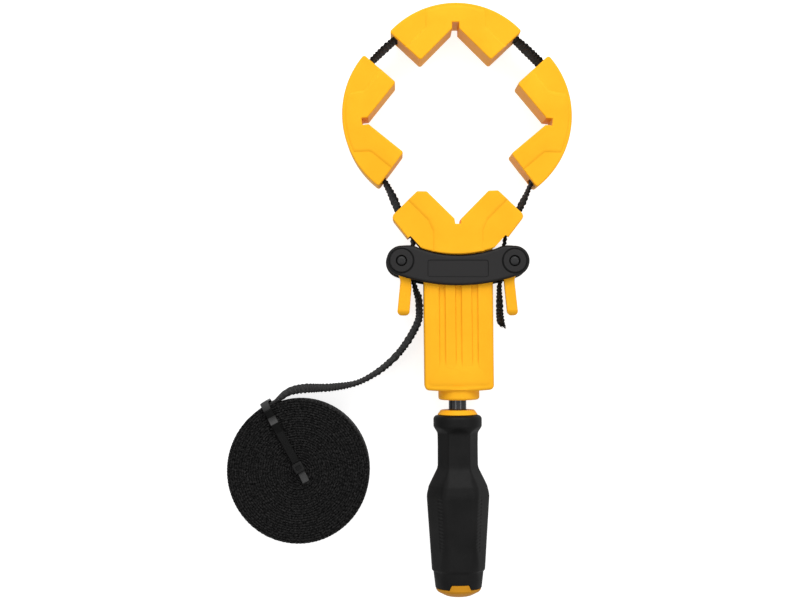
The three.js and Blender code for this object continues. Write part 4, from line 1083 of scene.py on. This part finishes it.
core = {
    "collar": 12.5, "lip": 10.3, "bore": 5.75, "boreEnd": -111.3, "top": -66.5, "foot": -69.4, "stem": 9.0,
    "end": -163.0}
fromAxis, toAxis = [Matrix.Translation((0, 0, z * mm)) for z in (mid, -mid)]
handleTurn = fromAxis @ Matrix.Rotation(math.radians(grip["turn"]), 4, "Y") @ toAxis


def gripRadius(radius, y, degrees):  # six flats with soft corners, ticks beside the front and back ones
    around = degrees - grip["turn"]
    off = math.radians((around + 30) % 60 - 30)
    flat = radius * between(grip["flats"], y) / math.cos(off)
    shaped = min(flat, radius) - math.log(1 + math.exp(-grip["crisp"] * abs(flat - radius))) / grip["crisp"]
    low, high = grip["tickY"]
    fromTicks = abs(abs((around + 90) % 180 - 90) - grip["tickAt"])
    window = ease((y - low) / 2) * ease((high - y) / 2) * ease((grip["tickHalf"] + 1 - fromTicks) / 2)
    tick = ease(0.5 + 0.5 * math.cos(2 * math.pi * y / grip["tickPitch"]))
    return shaped - window * grip["tickDeep"] * tick


def tabBlock(name, room, below, rounding):  # the cap's tab, or the grip's notch for it
    foot, top, high, end = cap["tabFoot"] + room, cap["tabTop"] + room, cap["tabHigh"] + room, grip["end"]
    outline = roundedPath([
        (-foot, end - below), (foot, end - below), (foot, end),
        (top, end + high, rounding), (-top, end + high, rounding), (-foot, end)])
    block = mouldedPrism(name, outline, mid + cap["tabLow"] - room, depth)
    block.data.transform(handleTurn)
    return block


def makeGrip():
    bore, top, end, sides = grip["bore"], grip["top"], grip["end"], grip["sides"]
    outer = roundedPath([(bore, top), *grip["profile"], (bore, end)], 8, closed=False)
    stations = [tuple(p) for p, _ in evenly(outer, grip["ring"])[0]]
    stations += [(bore, end + grip["boreIn"]), (bore, top - grip["boreIn"])]
    verts = []
    for radius, y in stations:
        for degrees in (360 * k / sides for k in range(sides)):
            a = math.radians(degrees)
            r = gripRadius(radius, y, degrees) if radius > grip["shapedOver"] else radius
            verts.append((r * math.sin(a), y, mid + r * math.cos(a)))
    faces = [tuple(v % len(verts) for v in quad) for quad in ringFaces(len(stations) + 1, sides)]
    piece = outward(addPiece("handleGrip", verts, faces))
    return combine(piece, [tabBlock("tabNotch", 0.3, 2, 0.8)], "DIFFERENCE")


def makeCap():
    radius, spigot, spigotEnd, end = cap["radius"], cap["spigot"], cap["spigotEnd"], grip["end"] - cap["gap"]
    profile = [*cap["dome"], (radius, end, 0.3), (spigot, end), (spigot, spigotEnd), (0, spigotEnd)]
    piece = turnedPiece("handleCap", roundedPath(profile, 8, closed=False), 120)
    foot, (skinRadius, skinTop) = end - 1.5, cap["skin"]
    skin = turnedPiece("capSkin", [(0, foot), (radius - 0.1, foot), (skinRadius, skinTop), (0, skinTop)], 120)
    combine(skin, [tabBlock("capTab", 0, 1, 0.7)], "INTERSECT")
    return combine(piece, [skin], "UNION")


bore, boreEnd, stem = core["bore"], core["boreEnd"], core["stem"]
top, foot, end = core["top"], core["foot"], core["end"]
coreProfile = roundedPath([
    (bore, top), (core["lip"], top, 0.4), (core["collar"], foot, 0.3), (stem, foot), (stem, end), (0, end),
    (0, boreEnd), (bore, boreEnd), (bore, top)], 6, closed=False)
dress(turnedPiece("handleCore", coreProfile), "yellowPlastic", "handle", ["handle_core"])
dress(makeGrip(), "gripRubber", "handle", ["handle_grip"], sharp=40)
# the end cap takes the darker, painted-shade copy of the yellow plastic
dress(makeCap(), "yellowPaintedShade", "handle", ["handle_end_cap"])
print("handle turned")


# thread and screws, as geometry node trees

def joinParts(tree, *parts):
    both = addNode(tree, "GeometryNodeJoinGeometry")
    for part in parts:
        tree.links.new(part, both.inputs[0])
    return both.outputs[0]


def closeTree(tree, out, geometry, finish):
    real = addNode(tree, "GeometryNodeRealizeInstances", Geometry=geometry)
    painted = addNode(tree, "GeometryNodeSetMaterial", Material=finishes[finish], Geometry=real.outputs[0])
    tree.links.new(painted.outputs[0], out[0])
    return tree


def runTree(piece, tree, sizes):
    step = piece.modifiers.new(tree.name, "NODES")
    step.node_group = tree
    for item in tree.interface.items_tree:
        if item.in_out == "INPUT" and item.name in sizes:
            step[item.identifier] = sizes[item.name]
    return freeze(piece)


def threadTree(sizes):
    tree, given, out = makeTree("GeometryNodeTree", "leadThread", sizes)
    spiral = addNode(
        tree, "GeometryNodeCurveSpiral", Resolution=40, Rotations=given["Turns"], Start_Radius=given["Root"],
        End_Radius=given["Root"], Height=given["Run"])
    ridge = addNode(tree, "GeometryNodeCurvePrimitiveCircle", Resolution=6, Radius=given["Ridge"])
    thread = addNode(
        tree, "GeometryNodeCurveToMesh", Fill_Caps=True, Curve=spiral.outputs[0],
        Profile_Curve=ridge.outputs[0])
    shift = addNode(tree, "ShaderNodeCombineXYZ", Y=given["Start"], Z=mid * mm)
    laid = addNode(
        tree, "GeometryNodeTransform", Rotation=(-math.pi / 2, 0, 0), Geometry=thread.outputs[0],
        Translation=shift.outputs[0])
    return closeTree(tree, out, joinParts(tree, given["Geometry"], laid.outputs[0]), "blackSteel")


def screwTree(sizes):  # a cross-recessed screw, its head towards -Z, at every point of the mesh
    tree, given, out = makeTree("GeometryNodeTree", "backScrews", sizes)
    head, high, reachIn = given["Head"], given["Head High"], given["Shank Long"]
    crown = addNode(
        tree, "GeometryNodeMeshCone", Vertices=40, Side_Segments=3, Depth=high, Radius_Bottom=head,
        Radius_Top=calc(tree, "MULTIPLY", head, 0.8))
    turned = addNode(tree, "GeometryNodeTransform", Rotation=(math.pi, 0, 0), Geometry=crown.outputs["Mesh"])
    lift = addNode(tree, "ShaderNodeCombineXYZ", Z=high)
    headUp = addNode(tree, "GeometryNodeTransform", Geometry=turned.outputs[0], Translation=lift.outputs[0])
    shares = ((head, 1.15), (head, 0.26), (high, 1.1))
    long, wide, deep = [calc(tree, "MULTIPLY", size, by) for size, by in shares]
    wing = addNode(tree, "ShaderNodeCombineXYZ", X=long, Y=wide, Z=deep)
    blade = addNode(tree, "GeometryNodeMeshCube", Size=wing.outputs[0]).outputs["Mesh"]
    across = addNode(tree, "GeometryNodeTransform", Rotation=(0, 0, math.pi / 2), Geometry=blade)
    recessed = addNode(tree, "GeometryNodeMeshBoolean", operation="DIFFERENCE")
    for i, part in ((0, headUp.outputs[0]), (1, blade), (1, across.outputs[0])):
        tree.links.new(part, recessed.inputs[i])
    shank = addNode(tree, "GeometryNodeMeshCylinder", Vertices=24, Radius=given["Shank"], Depth=reachIn)
    middle = calc(tree, "ADD", calc(tree, "MULTIPLY", reachIn, 0.5), high)
    down = addNode(tree, "ShaderNodeCombineXYZ", Z=calc(tree, "SUBTRACT", middle, screws["sunk"] * mm))
    sunk = addNode(tree, "GeometryNodeTransform", Geometry=shank.outputs["Mesh"], Translation=down.outputs[0])
    whole = joinParts(tree, recessed.outputs[0], sunk.outputs[0])
    spread = addNode(tree, "GeometryNodeInstanceOnPoints", Points=given["Geometry"], Instance=whole)
    return closeTree(tree, out, spread.outputs[0], "zincPlate")


(low, high), (threadLow, threadHigh) = screw["flangeY"], screw["threadY"]
shaft, flange, root, journal = screw["shaft"], screw["flange"], screw["root"], screw["journal"]
screwProfile = roundedPath([
    (0, screw["end"]), (shaft, screw["end"]), (shaft, low, 0.3), (flange, low, 0.4), (flange, high, 0.4),
    (root, high), (root, threadHigh), (journal, threadHigh), (journal, screw["journalY"], 0.4),
    (0, screw["journalY"])], 5, closed=False)
leadScrew = turnedPiece("leadScrew", screwProfile)
threadRun = threadHigh - threadLow - 2 * screw["threadGap"]
threadSizes = {
    "Turns": threadRun / screw["pitch"], "Root": screw["ridgeAt"] * mm, "Ridge": screw["ridge"] * mm,
    "Start": (threadLow + screw["threadGap"]) * mm, "Run": threadRun * mm}
runTree(leadScrew, threadTree(threadSizes), threadSizes)
dress(leadScrew, "blackSteel", "handle", ["lead_screw"])

bodySizes, yokeSizes = [
    {label: size * mm for label, size in screws[kind].items()} for kind in ("body", "yoke")]
backScrews = screwTree(bodySizes)
bodyScrews = addPiece("bodyScrews", [(x, y, back + screws["low"]) for x, y, back in screwSpots], [])
runTree(bodyScrews, backScrews, bodySizes)
bodyScrews.data.transform(bodySeat)
dress(bodyScrews, "zincPlate", "clamp_body", [
    f"body_screw_{row}_{side}" for row in ("lower", "upper") for side in ("left", "right")])
yokeScrews = addPiece("yokeScrews", [(*onSide(yoke["screw"], side), screws["low"]) for side in (-1, 1)], [])
runTree(yokeScrews, backScrews, yokeSizes)
yokeScrews.data.transform(yokeSeat)
dress(yokeScrews, "zincPlate", "yoke", ["yoke_screw_left", "yoke_screw_right"])
print("screws set")


# CAD nodes that keep their shape

keptNodes = {
    "nut_carriage": "blackSteel", "travelling_nut": "bronzeMetal", "thrust_washer_upper": "zincPlate",
    "thrust_washer_lower": "zincPlate", "neck_bush": "bronzeMetal", "end_bush": "bronzeMetal"}
for node, finish in keptNodes.items():
    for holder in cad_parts[node].material_slots:
        holder.material = finishes[finish]

print("all pieces made")
